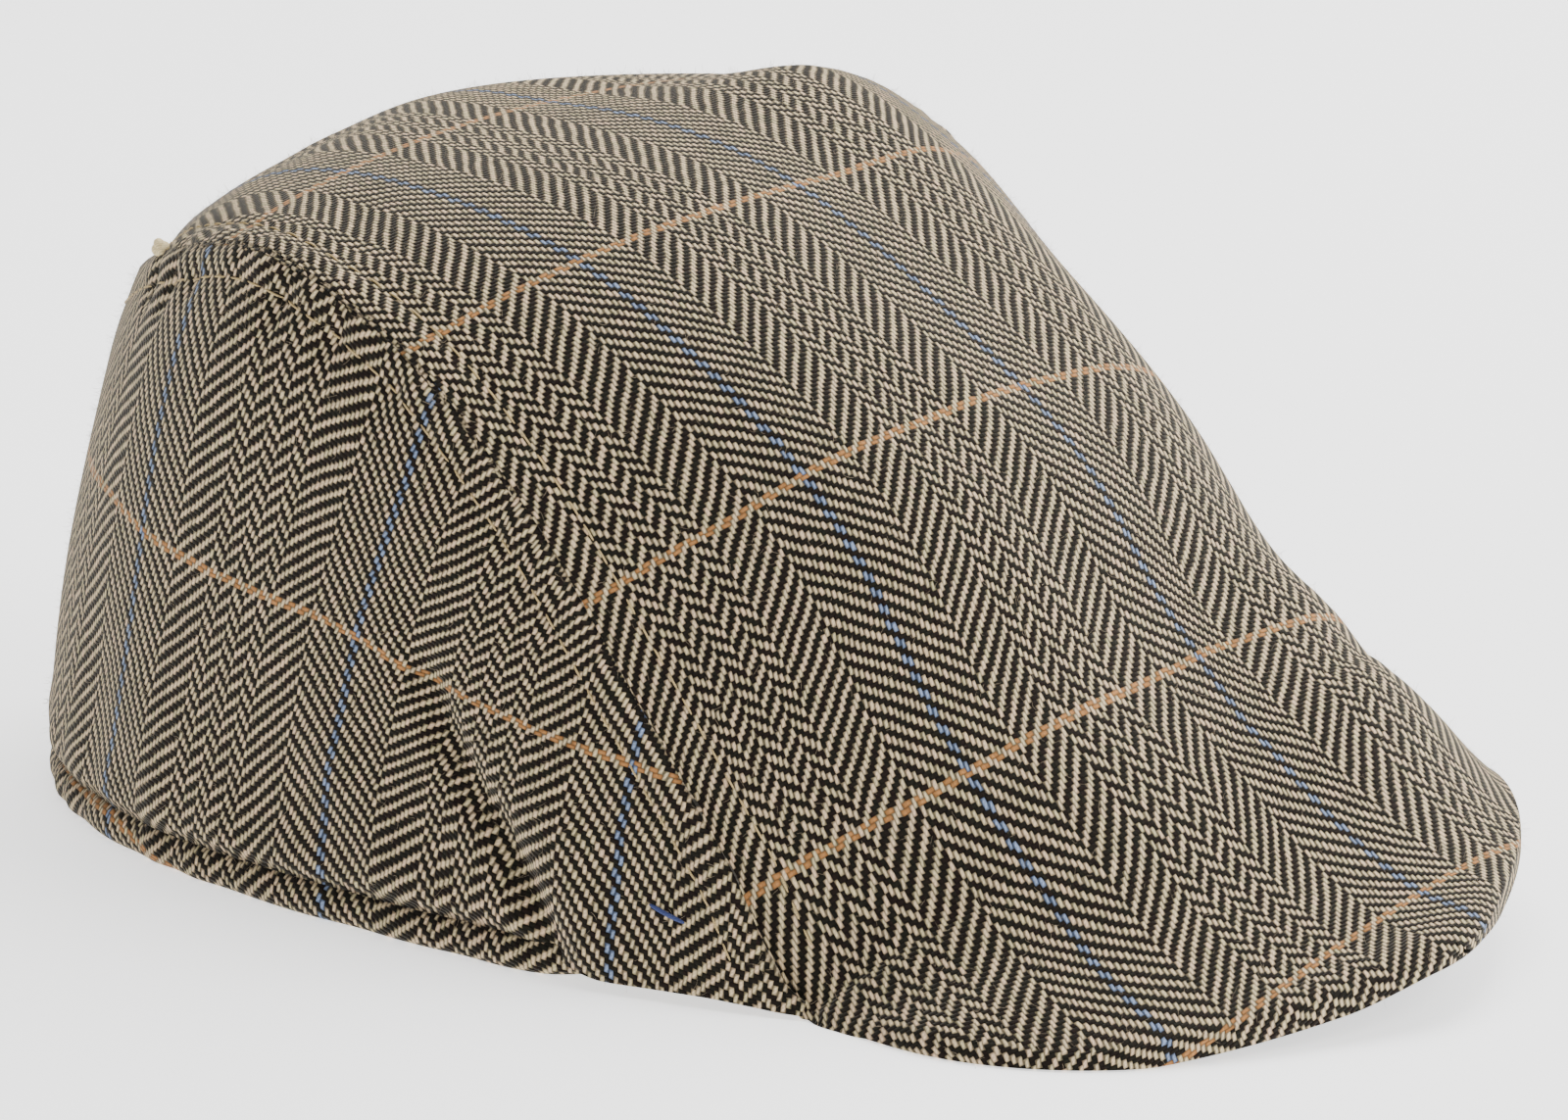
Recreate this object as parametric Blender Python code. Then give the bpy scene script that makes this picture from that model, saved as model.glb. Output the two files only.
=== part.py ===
"""A tweed flat cap that stands on its rim: a top panel, two side panels, a hem band and a stiff peak.

Metres, the front is -Y, up is +Z, and the floor is at 0. The top panel is one length of cloth from the centre
back over the crown and down over the peak. The side panels meet at the centre back and taper to the front ends
of the seams. Each wall of cloth is an open surface that is extruded inward, mitred along the seams.
"""

import math
from collections import namedtuple

import bmesh
import bpy
import numpy as np

# Driving sizes, in metres
CROWN_LENGTH = 0.193      # from the centre back to the front ends of the seams
PEAK_REACH = 0.074        # from there to the tip of the peak
CROWN_HEIGHT = 0.117      # from the floor to the highest point
TOP_WIDTH = 0.158         # across the top panel where it is widest
RIM_WIDTH = 0.172         # across the rim where it is widest
RIM_LENGTH = 0.246        # of the whole oval that the rim follows at the back and the sides
CLOTH = 0.002             # thickness of a wall of tweed
GAP = 0.0003              # between pieces that touch
LIP = 0.0035              # how far the top panel turns down round the edge of the peak
BOARD = 0.003             # the stiff board of the peak with its undercloth
HEM_HEIGHT = 0.0105       # of the hem band, most of it behind the side panels
HEM_SHOWS = 0.006         # how much of the hem band shows under the side panels
HEM_THICKNESS = 0.0025
HEM_FLARE = 0.0016        # how far the hem band stands out at the floor
BACK_SWELL = 0.0036       # how far the back stands out beyond the rim
PEAK_TWIST = math.radians(8.7)
TIP_SLOPE = math.radians(30)

# Shapes without a length of their own
RIM_SQUARENESS = 2.5      # exponent of the rim's oval, where 2 is an ellipse
LEAN_AT_RIM = math.radians(0.5)
LEAN_AT_SEAM = math.radians(19)
TWIST_RUN = (1.0, 1.65)   # where along the run the peak's twist begins and is full
LIP_RUN = (0.97, 1.05)    # where along the panel the lip begins and is full
HEM_TUCK = (0.78, 0.86)   # where along the seam the side panel comes down over the hem band
HEM_END = 0.93            # where the hem band ends
SIDE_END = 0.985          # where the side panels end, just behind the seams' ends
BOARD_START = 1.16        # where the board of the peak starts, just in front of them
HEM_FREE = 0.6            # of the seam's height, which the hem band stays under
DENTS_FROM = (0.012, 0.020)   # heights between which the side panels' dents come in, above the hem band

# How finely the surfaces are divided
CROWN_ROWS = 32
PEAK_ROWS = 11
TOP_COLUMNS = 18
SIDE_ROWS = 13
HEM_ROWS = 4
BOARD_COLUMNS = 14

# One row for each rib of the top panel, from the centre back to the tip of the peak.
# half: half its width, as a share of half of TOP_WIDTH.
# run: place from the back, where 0 to 1 is CROWN_LENGTH and 1 to 2 is PEAK_REACH, at its edge and at the crest.
# up: height as a share of CROWN_HEIGHT, at its edge and at the crest.
# fullness: exponent of its curve from the crest to the edge.
Rib = namedtuple("Rib", "half edge_run edge_up crest_run crest_up fullness")
RIBS = [
    Rib(0.00, 0.002, 0.680, 0.002, 0.680, 2.3),
    Rib(0.30, 0.060, 0.705, 0.052, 0.740, 2.3),
    Rib(0.62, 0.170, 0.775, 0.142, 0.838, 2.4),
    Rib(0.87, 0.305, 0.865, 0.283, 0.983, 2.4),
    Rib(0.99, 0.455, 0.915, 0.477, 0.994, 2.5),
    Rib(0.97, 0.590, 0.820, 0.660, 0.960, 2.5),
    Rib(0.93, 0.710, 0.630, 0.825, 0.838, 2.7),
    Rib(0.92, 0.825, 0.400, 0.975, 0.656, 2.9),
    Rib(0.91, 0.925, 0.195, 1.220, 0.428, 3.1),
    Rib(0.88, 1.000, 0.022, 1.450, 0.308, 3.3),
    Rib(0.84, 1.370, 0.073, 1.640, 0.198, 2.9),
    Rib(0.63, 1.695, 0.072, 1.830, 0.134, 2.6),
    Rib(0.30, 1.900, 0.067, 1.955, 0.115, 2.4),
    Rib(0.00, 2.000, 0.068, 2.000, 0.098, 2.2),
]
SEAM_END = 9              # the rib at which the seam meets the rim

# One row for each place where the top panel's left side stands up more than its right side.
# at and reach: its place along the panel and how far it reaches from there. height: metres.
Swell = namedtuple("Swell", "at reach height")
SWELLS = [
    Swell(0.45, 0.09, 0.0045),
    Swell(1.13, 0.24, 0.0085),
]
SWELL_ACROSS = (-0.35, 0.55)   # where across the panel a swell begins and is full

# One row for each dent. along and across: where it starts and where it ends, across as a share from the rim to the
# seam on a side panel, and from the right edge (-1) to the left one (1) on the top panel. depth and width: metres.
Dent = namedtuple("Dent", "along0 across0 along1 across1 depth width")
SIDE_DENTS = [
    Dent(0.60, 0.60, 0.70, 0.50, 0.0022, 0.009),
    Dent(0.70, 0.50, 0.78, 0.30, 0.0030, 0.008),
    Dent(0.78, 0.30, 0.82, 0.12, 0.0020, 0.007),
    Dent(0.40, 0.30, 0.44, 0.02, 0.0012, 0.010),
]
TOP_DENTS = [
    Dent(0.36, -0.10, 0.42, 0.60, 0.0012, 0.012),
    Dent(0.46, -0.86, 0.40, -0.70, 0.0012, 0.005),
]

MATERIALS = {
    "tweed": ((0.145, 0.115, 0.090, 1.0), 0.95),
    "undercloth": ((0.035, 0.035, 0.040, 1.0), 0.90),
}


def run_to_y(run):
    """Place along the cap from its run: 0 at the centre back, 1 at the seams' ends, 2 at the tip."""
    run = np.asarray(run, float)
    back = (CROWN_LENGTH + PEAK_REACH - BACK_SWELL) / 2
    return back - np.minimum(run, 1) * CROWN_LENGTH - np.maximum(run - 1, 0) * PEAK_REACH


def ramp(value, start, end):
    """Smooth step from 0 at start to 1 at end."""
    u = np.clip((np.asarray(value, float) - start) / (end - start), 0, 1)
    return u * u * (3 - 2 * u)


def smooth_rows(at, knots, rows):
    """Curve through rows of numbers, with slopes taken from the rows on both sides."""
    steps = np.diff(knots)[:, None]
    slopes = np.diff(rows, axis=0) / steps
    inner = (slopes[:-1] * steps[1:] + slopes[1:] * steps[:-1]) / (steps[1:] + steps[:-1])
    slopes = np.vstack([slopes[:1], inner, slopes[-1:]])
    i = np.clip(np.searchsorted(knots, at, side="right") - 1, 0, len(knots) - 2)
    step = steps[i]
    u = (at[:, None] - knots[i][:, None]) / step
    return (
        (2 * u**3 - 3 * u**2 + 1) * rows[i]
        + (u**3 - 2 * u**2 + u) * step * slopes[i]
        + (-2 * u**3 + 3 * u**2) * rows[i + 1]
        + (u**3 - u**2) * step * slopes[i + 1]
    )


def rib_lengths():
    """Ribs in metres (half, edge y, edge z, crest y, crest z, fullness) and their places along the panel."""
    rows = np.array([
        (
            rib.half * TOP_WIDTH / 2,
            float(run_to_y(rib.edge_run)),
            rib.edge_up * CROWN_HEIGHT,
            float(run_to_y(rib.crest_run)),
            rib.crest_up * CROWN_HEIGHT,
            rib.fullness,
        )
        for rib in RIBS
    ])
    edge_steps = np.linalg.norm(np.diff(rows[:, :3], axis=0), axis=1)
    crest_steps = np.linalg.norm(np.diff(rows[:, 3:5], axis=0), axis=1)
    knots = np.concatenate([[0], np.cumsum((edge_steps + crest_steps) / 2)])
    return knots, rows


def rib_at(along):
    """Ribs at places along the panel, 0 to 1 over the crown and 1 to 2 over the peak."""
    knots, rows = rib_lengths()
    before, after = rows[1].copy(), rows[-2].copy()
    for end, beyond, near in ((0, before, 1), (-1, after, -2)):
        beyond[0] = -beyond[0]
        beyond[3:5] = 2 * rows[end, 3:5] - rows[near, 3:5]
    all_knots = np.concatenate([[2 * knots[0] - knots[1]], knots, [2 * knots[-1] - knots[-2]]])
    all_rows = np.vstack([before, rows, after])
    seam = knots[SEAM_END]
    along = np.asarray(along, float)
    at = np.minimum(along, 1) * seam + np.maximum(along - 1, 0) * (knots[-1] - seam)
    return smooth_rows(at, all_knots, all_rows)


def y_to_run(y):
    """Run at a place along the cap."""
    back = (CROWN_LENGTH + PEAK_REACH - BACK_SWELL) / 2
    crown = (back - y) / CROWN_LENGTH
    peak = 1 + (back - CROWN_LENGTH - y) / PEAK_REACH
    return np.where(crown <= 1, crown, peak)


def twisted(points):
    """Points with the peak's twist, which lifts its left side and lowers its right side."""
    weight = ramp(y_to_run(points[..., 1]), *TWIST_RUN)
    moved = points.copy()
    moved[..., 2] += math.tan(PEAK_TWIST) * points[..., 0] * weight
    return moved


def swell(along, across, inner):
    """Heights of all the swells on a grid, where inner is the share of the way from the crest to the lip."""
    rise = sum(row.height * np.exp(-(((along - row.at) / row.reach) ** 2)) for row in SWELLS)
    return rise[:, None] * ramp(across, *SWELL_ACROSS)[None, :] * (1 - inner**4)


def top_surface(along, across):
    """Outer surface of the top panel: a rib for each along, with across from -1 to 1 and a lip round the peak."""
    ribs = rib_at(along)
    half, edge_y, edge_z, crest_y, crest_z, fullness = (ribs[:, i:i + 1] for i in range(6))
    lip = LIP * ramp(along, *LIP_RUN)[:, None]
    last = np.abs(across[None, :]) >= 1
    inner = np.minimum(np.abs(across) / np.abs(across[-2]), 1)[None, :]
    fall = 1 - inner**fullness
    x = half * across[None, :]
    y = edge_y + (crest_y - edge_y) * fall
    z = edge_z + lip * ~last + np.maximum(crest_z - edge_z - lip, 0) * fall + swell(along, across, inner)
    return twisted(np.stack([x, y, z], axis=-1))


def rim_line(along):
    """Lower edge of the left side panel on the floor, from the centre back to the seam's end."""
    end = rib_at(np.array([1.0]))[0]
    back = float(run_to_y(0))
    middle, reach = back - RIM_LENGTH / 2, RIM_LENGTH / 2
    share = (end[1] - middle) / reach
    last_angle = math.acos(math.copysign(abs(share) ** (RIM_SQUARENESS / 2), share))
    angle = np.asarray(along) * last_angle
    power = 2 / RIM_SQUARENESS
    y = middle + reach * np.sign(np.cos(angle)) * np.abs(np.cos(angle)) ** power
    x = RIM_WIDTH / 2 * np.abs(np.sin(angle)) ** power
    end_x = RIM_WIDTH / 2 * math.sin(last_angle) ** power
    x = x + np.asarray(along) ** 3 * (end[0] - end_x)
    return np.stack([x, y, np.zeros_like(x)], axis=-1)


def side_curves(along):
    """Curves of the left side panel from the rim up to the seam, one for each along, and the outward directions."""
    seam = rib_at(along)[:, :3]
    rim = rim_line(along)
    tangent = np.gradient(rim, axis=0)
    outward = np.stack([-tangent[:, 1], tangent[:, 0], np.zeros(len(along))], axis=-1)
    outward /= np.linalg.norm(outward, axis=1, keepdims=True)
    outward[0] = (0, 1, 0)
    up = np.array([0, 0, 1])
    chord = np.linalg.norm(seam - rim, axis=1, keepdims=True)
    start = (outward * math.sin(LEAN_AT_RIM) + up * math.cos(LEAN_AT_RIM)) * chord
    end = (up * math.cos(LEAN_AT_SEAM) - outward * math.sin(LEAN_AT_SEAM)) * chord
    w = np.linspace(0, 1, 81)[None, :, None]
    curves = (
        (2 * w**3 - 3 * w**2 + 1) * rim[:, None]
        + (w**3 - 2 * w**2 + w) * start[:, None]
        + (-2 * w**3 + 3 * w**2) * seam[:, None]
        + (w**3 - w**2) * end[:, None]
    )
    return curves, outward


def side_surface(along, rows):
    """Outer surface of the left side panel, from its lower edge up to the seam in equal steps."""
    curves, _ = side_curves(along)
    w = np.linspace(0, 1, curves.shape[1])
    grid = np.empty((len(along), rows + 1, 3))
    for i, (curve, low) in enumerate(zip(curves, lower_edge(along))):
        first = np.interp(min(low, curve[-1, 2] / 2), curve[:, 2], w)
        places = first + (1 - first) * np.linspace(0, 1, rows + 1)
        grid[i] = np.stack([np.interp(places, w, curve[:, axis]) for axis in range(3)], axis=-1)
    return grid


def lower_edge(along):
    """Height of a side panel's lower edge: it shows the hem band at the back and comes down over it in front."""
    return HEM_SHOWS * (1 - ramp(along, *HEM_TUCK))


def normals_of(grid):
    """Unit normals of a grid of points, by the slopes along both of its directions."""
    rows, columns = np.gradient(grid, axis=0), np.gradient(grid, axis=1)
    normals = np.cross(rows, columns)
    sizes = np.linalg.norm(normals, axis=2, keepdims=True)
    return normals / np.maximum(sizes, 1e-12)


def dented(grid, normals, along, across, dents):
    """Grid pushed inward along its normals where the dents are."""
    rows = np.linalg.norm(np.diff(grid[:, grid.shape[1] // 2], axis=0), axis=1).mean() / np.diff(along).mean()
    columns = np.linalg.norm(np.diff(grid, axis=1), axis=2).sum(axis=1).mean() / (across[-1] - across[0])
    place_u, place_v = np.meshgrid(along * rows, across * columns, indexing="ij")
    moved = grid.copy()
    for dent in dents:
        start = np.array([dent.along0 * rows, dent.across0 * columns])
        end = np.array([dent.along1 * rows, dent.across1 * columns])
        line = end - start
        share = ((place_u - start[0]) * line[0] + (place_v - start[1]) * line[1]) / (line @ line)
        share = np.clip(share, 0, 1)
        away = np.hypot(place_u - start[0] - share * line[0], place_v - start[1] - share * line[1])
        moved -= normals * (dent.depth * np.exp(-(away / dent.width) ** 2))[..., None]
    return moved


def shell(name, outer, inner, material, mirrored=False):
    """Closed wall between two grids of points: the outer grid is extruded onto the inner one."""
    rows, columns = outer.shape[:2]
    sign = -1 if mirrored else 1
    bm = bmesh.new()
    place = bm.verts.layers.int.new("place")
    bmesh.ops.create_grid(bm, x_segments=rows - 1, y_segments=columns - 1, size=1)
    bm.verts.ensure_lookup_table()
    for vert in bm.verts:
        i = round((vert.co.x + 1) / 2 * (rows - 1))
        j = round((vert.co.y + 1) / 2 * (columns - 1))
        vert[place] = i * columns + j
    first = set(bm.verts)
    bmesh.ops.extrude_face_region(bm, geom=bm.faces[:], use_keep_orig=True)
    for vert in bm.verts:
        grid = outer if vert in first else inner
        x, y, z = grid[vert[place] // columns, vert[place] % columns]
        vert.co = (sign * x, y, z)
    bmesh.ops.remove_doubles(bm, verts=bm.verts, dist=1e-6)
    bmesh.ops.dissolve_degenerate(bm, dist=1e-6, edges=bm.edges)
    inside = [face for face in bm.faces if all(abs(vert.co.x) < 1e-6 for vert in face.verts)]
    bmesh.ops.delete(bm, geom=inside, context="FACES")
    bmesh.ops.recalc_face_normals(bm, faces=bm.faces)
    mesh = bpy.data.meshes.new(name)
    bm.to_mesh(mesh)
    bm.free()
    mesh.materials.append(material)
    mesh.shade_smooth()
    mesh.set_sharp_from_angle(angle=math.radians(50))
    piece = bpy.data.objects.new(name, mesh)
    bpy.data.collections["flat_cap"].objects.link(piece)
    return piece


def blend_offsets(grid, offsets, column):
    """Turn the offsets near one column gradually into that column's own, so that the wall doesn't fold there."""
    away = np.linalg.norm(grid - grid[:, [column]], axis=2, keepdims=True)
    weight = np.maximum(1 - away / (2 * CLOTH), 0) ** 2
    offsets += (offsets[:, [column]] - offsets) * weight


def drawn_back(grid, row, neighbour, axis, gap):
    """Grid whose row or column at an edge is moved along the surface, to leave a gap there."""
    moved = grid.copy()
    edge = [slice(None), slice(None)]
    near = [slice(None), slice(None)]
    edge[axis], near[axis] = row, neighbour
    step = grid[tuple(near)] - grid[tuple(edge)]
    size = np.linalg.norm(step, axis=-1, keepdims=True)
    moved[tuple(edge)] += step / np.maximum(size, 1e-9) * np.minimum(gap, size / 2)
    return moved


def build_panels(materials):
    """Top panel and both side panels, with a shared mitre along the seams."""
    crown = np.linspace(0, 1, CROWN_ROWS + 1)
    turn = np.linspace(0, math.pi / 2, PEAK_ROWS + 1)[1:]
    along = np.concatenate([crown, 1 + np.sin(turn)])
    edge_share = 0.975
    across = np.sin(np.linspace(-1, 1, TOP_COLUMNS + 1) * math.pi / 2.6) / math.sin(math.pi / 2.6) * edge_share
    across = np.concatenate([[-1], across, [1]])
    top = top_surface(along, across)
    top_normals = normals_of(top)
    top_normals[0] = top_normals[1, len(across) // 2]
    top_normals[-1, 1:-1] = (0, -math.sin(TIP_SLOPE), math.cos(TIP_SLOPE))
    top_normals[-1, [0, -1]] = (0, -1, 0)
    top = dented(top, top_normals, along, across, TOP_DENTS)

    beside_crown = np.append(crown[:-1], SIDE_END)
    side = side_surface(beside_crown, SIDE_ROWS)
    side_normals = -normals_of(side)
    side_normals[0] = side_normals[0] * (0, 1, 1)
    side_normals[0] /= np.linalg.norm(side_normals[0], axis=1, keepdims=True)
    share = np.linspace(0, 1, SIDE_ROWS + 1)
    keep = (1 - ramp(share, 0.8, 1)) * ramp(side[..., 2], *DENTS_FROM)
    side += (dented(side, side_normals, beside_crown, share, SIDE_DENTS) - side) * keep[..., None]

    top_offset = -top_normals * CLOTH
    side_offset = -side_normals * CLOTH
    for column in (0, -1):
        x_sign = -1 if column == 0 else 1
        near = top_normals[:CROWN_ROWS + 1, column]
        beside = side_normals[:, -1] * (x_sign, 1, 1)
        mitre = near + beside
        mitre /= np.linalg.norm(mitre, axis=1, keepdims=True)
        length = CLOTH / np.maximum((mitre * near).sum(axis=1, keepdims=True), 0.5)
        top_offset[:CROWN_ROWS + 1, column] = -mitre * length
        blend_offsets(top[:CROWN_ROWS + 1], top_offset[:CROWN_ROWS + 1], column)
    top_offset[0] = top_offset[0, -1]
    side_offset[:, -1] = top_offset[:CROWN_ROWS + 1, -1]
    blend_offsets(side, side_offset, -1)
    side_offset[0, :, 0] = 0

    top_walls = []
    for grid in (top, top + top_offset):
        crown_part = slice(0, CROWN_ROWS + 1)
        left = drawn_back(grid, -1, -2, 1, GAP)
        right = drawn_back(grid, 0, 1, 1, GAP)
        grid = grid.copy()
        grid[crown_part, -1] = left[crown_part, -1]
        grid[crown_part, 0] = right[crown_part, 0]
        grid[0, :, 1] -= GAP
        grid[..., 2] = np.maximum(grid[..., 2], GAP)
        top_walls.append(grid)
    shell("top_panel", top_walls[0], top_walls[1], materials["tweed"])

    side_walls = []
    for grid in (side, side + side_offset):
        grid = drawn_back(grid, -1, -2, 1, 2 * GAP)
        grid[0, :, 0] += GAP / 2
        grid[:, 0, 2] = side[:, 0, 2]
        side_walls.append(grid)
    shell("side_panel_left", side_walls[0], side_walls[1], materials["tweed"])
    shell("side_panel_right", side_walls[0], side_walls[1], materials["tweed"], mirrored=True)


def build_hem(materials):
    """Hem band: one strip round the back, behind the side panels' lower edges, flared a little at the floor."""
    half = np.linspace(0, HEM_END, CROWN_ROWS + 1)
    curves, outward = side_curves(half)
    low = lower_edge(half)
    outer = np.empty((len(half), HEM_ROWS + 1, 3))
    inner = outer.copy()
    for i, (curve, away) in enumerate(zip(curves, outward)):
        heights = np.linspace(0, min(HEM_HEIGHT, HEM_FREE * curve[-1, 2]), HEM_ROWS + 1)
        lean = np.gradient(curve @ away, curve[:, 2])
        slope = np.hypot(1, np.interp(heights, curve[:, 2], lean))
        under = np.clip(1 - heights / max(low[i], 1e-6), 0, 1) * low[i] / HEM_SHOWS
        depth = (CLOTH + 3 * GAP) * slope - HEM_FLARE * under
        on_curve = np.stack([np.interp(heights, curve[:, 2], curve[:, axis]) for axis in range(3)], axis=-1)
        outer[i] = on_curve - away * depth[:, None]
        inner[i] = outer[i] - away * HEM_THICKNESS
    walls = [np.concatenate([left[:0:-1] * (-1, 1, 1), left]) for left in (outer, inner)]
    shell("hem_band", walls[0], walls[1], materials["tweed"])


def build_peak(materials):
    """Peak: the stiff board with its undercloth, close under the top panel from the seams' ends to the lip."""
    inset = CLOTH + 4 * GAP
    fine = np.linspace(BOARD_START, 2, 400)
    edge = rib_at(fine)
    tip = edge[-1, 1] + inset
    last = np.interp(-tip, -edge[:, 1], fine)
    turn = np.linspace(0, math.pi / 2, PEAK_ROWS + 1)
    along = fine[0] + (last - fine[0]) * np.sin(turn)
    ribs = rib_at(along)
    reach = 1 - (inset + 5 * GAP) / np.maximum(ribs[:, 0], 2 * inset)
    across = np.linspace(-1, 1, BOARD_COLUMNS + 1)
    dense = np.concatenate([[-1], np.linspace(-0.975, 0.975, 121), [1]])
    surface = top_surface(along, dense)
    normals = normals_of(surface)
    walls = []
    for depth in (CLOTH + 3 * GAP, CLOTH + 3 * GAP + BOARD):
        offset = surface - normals * depth
        rows = [
            [[np.interp(share * r, dense[1:-1], row[1:-1, axis]) for axis in range(3)] for share in across]
            for row, r in zip(offset, reach)
        ]
        walls.append(np.array(rows))
    walls[1][..., 2] = np.maximum(walls[1][..., 2], 2 * GAP)
    shell("peak", walls[0], walls[1], materials["undercloth"])


def main():
    """Build the cap."""
    for old in list(bpy.data.objects):
        bpy.data.objects.remove(old)
    collection = bpy.data.collections.new("flat_cap")
    bpy.context.scene.collection.children.link(collection)
    materials = {}
    for name, (colour, roughness) in MATERIALS.items():
        material = bpy.data.materials.new(name)
        material.use_nodes = True
        shader = material.node_tree.nodes["Principled BSDF"]
        shader.inputs["Base Color"].default_value = colour
        shader.inputs["Roughness"].default_value = roughness
        shader.inputs["Metallic"].default_value = 0.0
        materials[name] = material
    build_panels(materials)
    build_hem(materials)
    build_peak(materials)


main()
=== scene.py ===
"""Herringbone tweed flat cap with a duckbill peak, standing on its hem on a pale studio floor.

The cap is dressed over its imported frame: each panel of cloth is a fine sheet with rolled seams, puckers and a
crease, and carries its own cloth coordinates in millimetres, from which the weave is worked out.
"""

import logging
import math
from dataclasses import dataclass
from enum import Enum
from typing import Any, NamedTuple, Union

import bpy
import numpy as np
from mathutils import Matrix, Vector


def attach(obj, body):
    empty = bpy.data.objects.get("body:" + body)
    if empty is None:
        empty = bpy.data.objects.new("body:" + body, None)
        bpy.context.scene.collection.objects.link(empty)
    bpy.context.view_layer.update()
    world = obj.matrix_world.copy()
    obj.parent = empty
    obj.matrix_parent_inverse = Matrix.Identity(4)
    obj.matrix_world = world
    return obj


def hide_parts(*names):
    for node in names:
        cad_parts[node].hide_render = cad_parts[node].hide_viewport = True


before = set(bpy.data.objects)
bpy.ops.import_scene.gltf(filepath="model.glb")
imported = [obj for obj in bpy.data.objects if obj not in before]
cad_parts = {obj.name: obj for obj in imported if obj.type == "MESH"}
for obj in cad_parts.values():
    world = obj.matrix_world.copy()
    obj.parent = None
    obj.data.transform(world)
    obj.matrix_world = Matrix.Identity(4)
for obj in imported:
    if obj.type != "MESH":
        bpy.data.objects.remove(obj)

LOG = logging.getLogger("flat_cap")
MM = 0.001
CM2_IN_M2 = 1e4

# what the sheets carry for their materials: their cloth coordinates, and a share of painted shade that darkens
# the cloth's colour in the grooves
CLOTH_UV = "cloth"
PAINTED_SHADE = "painted_shade"

# limits for every mesh
FLOOR_CLEARANCE = 0.05 * MM
WELD_DISTANCE = 0.00002
SMOOTH_ANGLE = math.radians(60)

# how many points, columns and steps the measuring functions take
POINTS_AT_ONCE = 4000
SEAM_COLUMNS = 60
LINE_POINTS = 60

# how deep a fold is along its line
FOLD_SHARES = (0, 0.25, 0.8, 1)
FOLD_FADE = (0.35, 1, 1, 0.6)


class Rib(NamedTuple):
    """One rib of the top panel.

    half is a share of half the top's width, run a place from the back (0 to 1 over the crown, 1 to 2 over the
    peak), up a share of the height, and fullness the exponent of the curve from the crest down to the edge.
    """

    half: float
    edge_run: float
    edge_up: float
    crest_run: float
    crest_up: float
    fullness: float


class Swell(NamedTuple):
    """A place along the top panel, how far it reaches from there, and a height in metres."""

    at: float
    reach: float
    height: float

    def over(self, along: np.ndarray) -> np.ndarray:
        """Height at each place along the panel."""
        return self.height * bell(along - self.at, self.reach)


class Fold(NamedTuple):
    """A valley in the cloth along a line of places, in metres; a ridge has a negative depth."""

    depth: float
    width: float
    places: tuple[tuple[float, float], ...]


class Hand(Enum):
    """The wearer's side that a piece is on, as the sign of its x."""

    LEFT = 1
    RIGHT = -1


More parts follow.
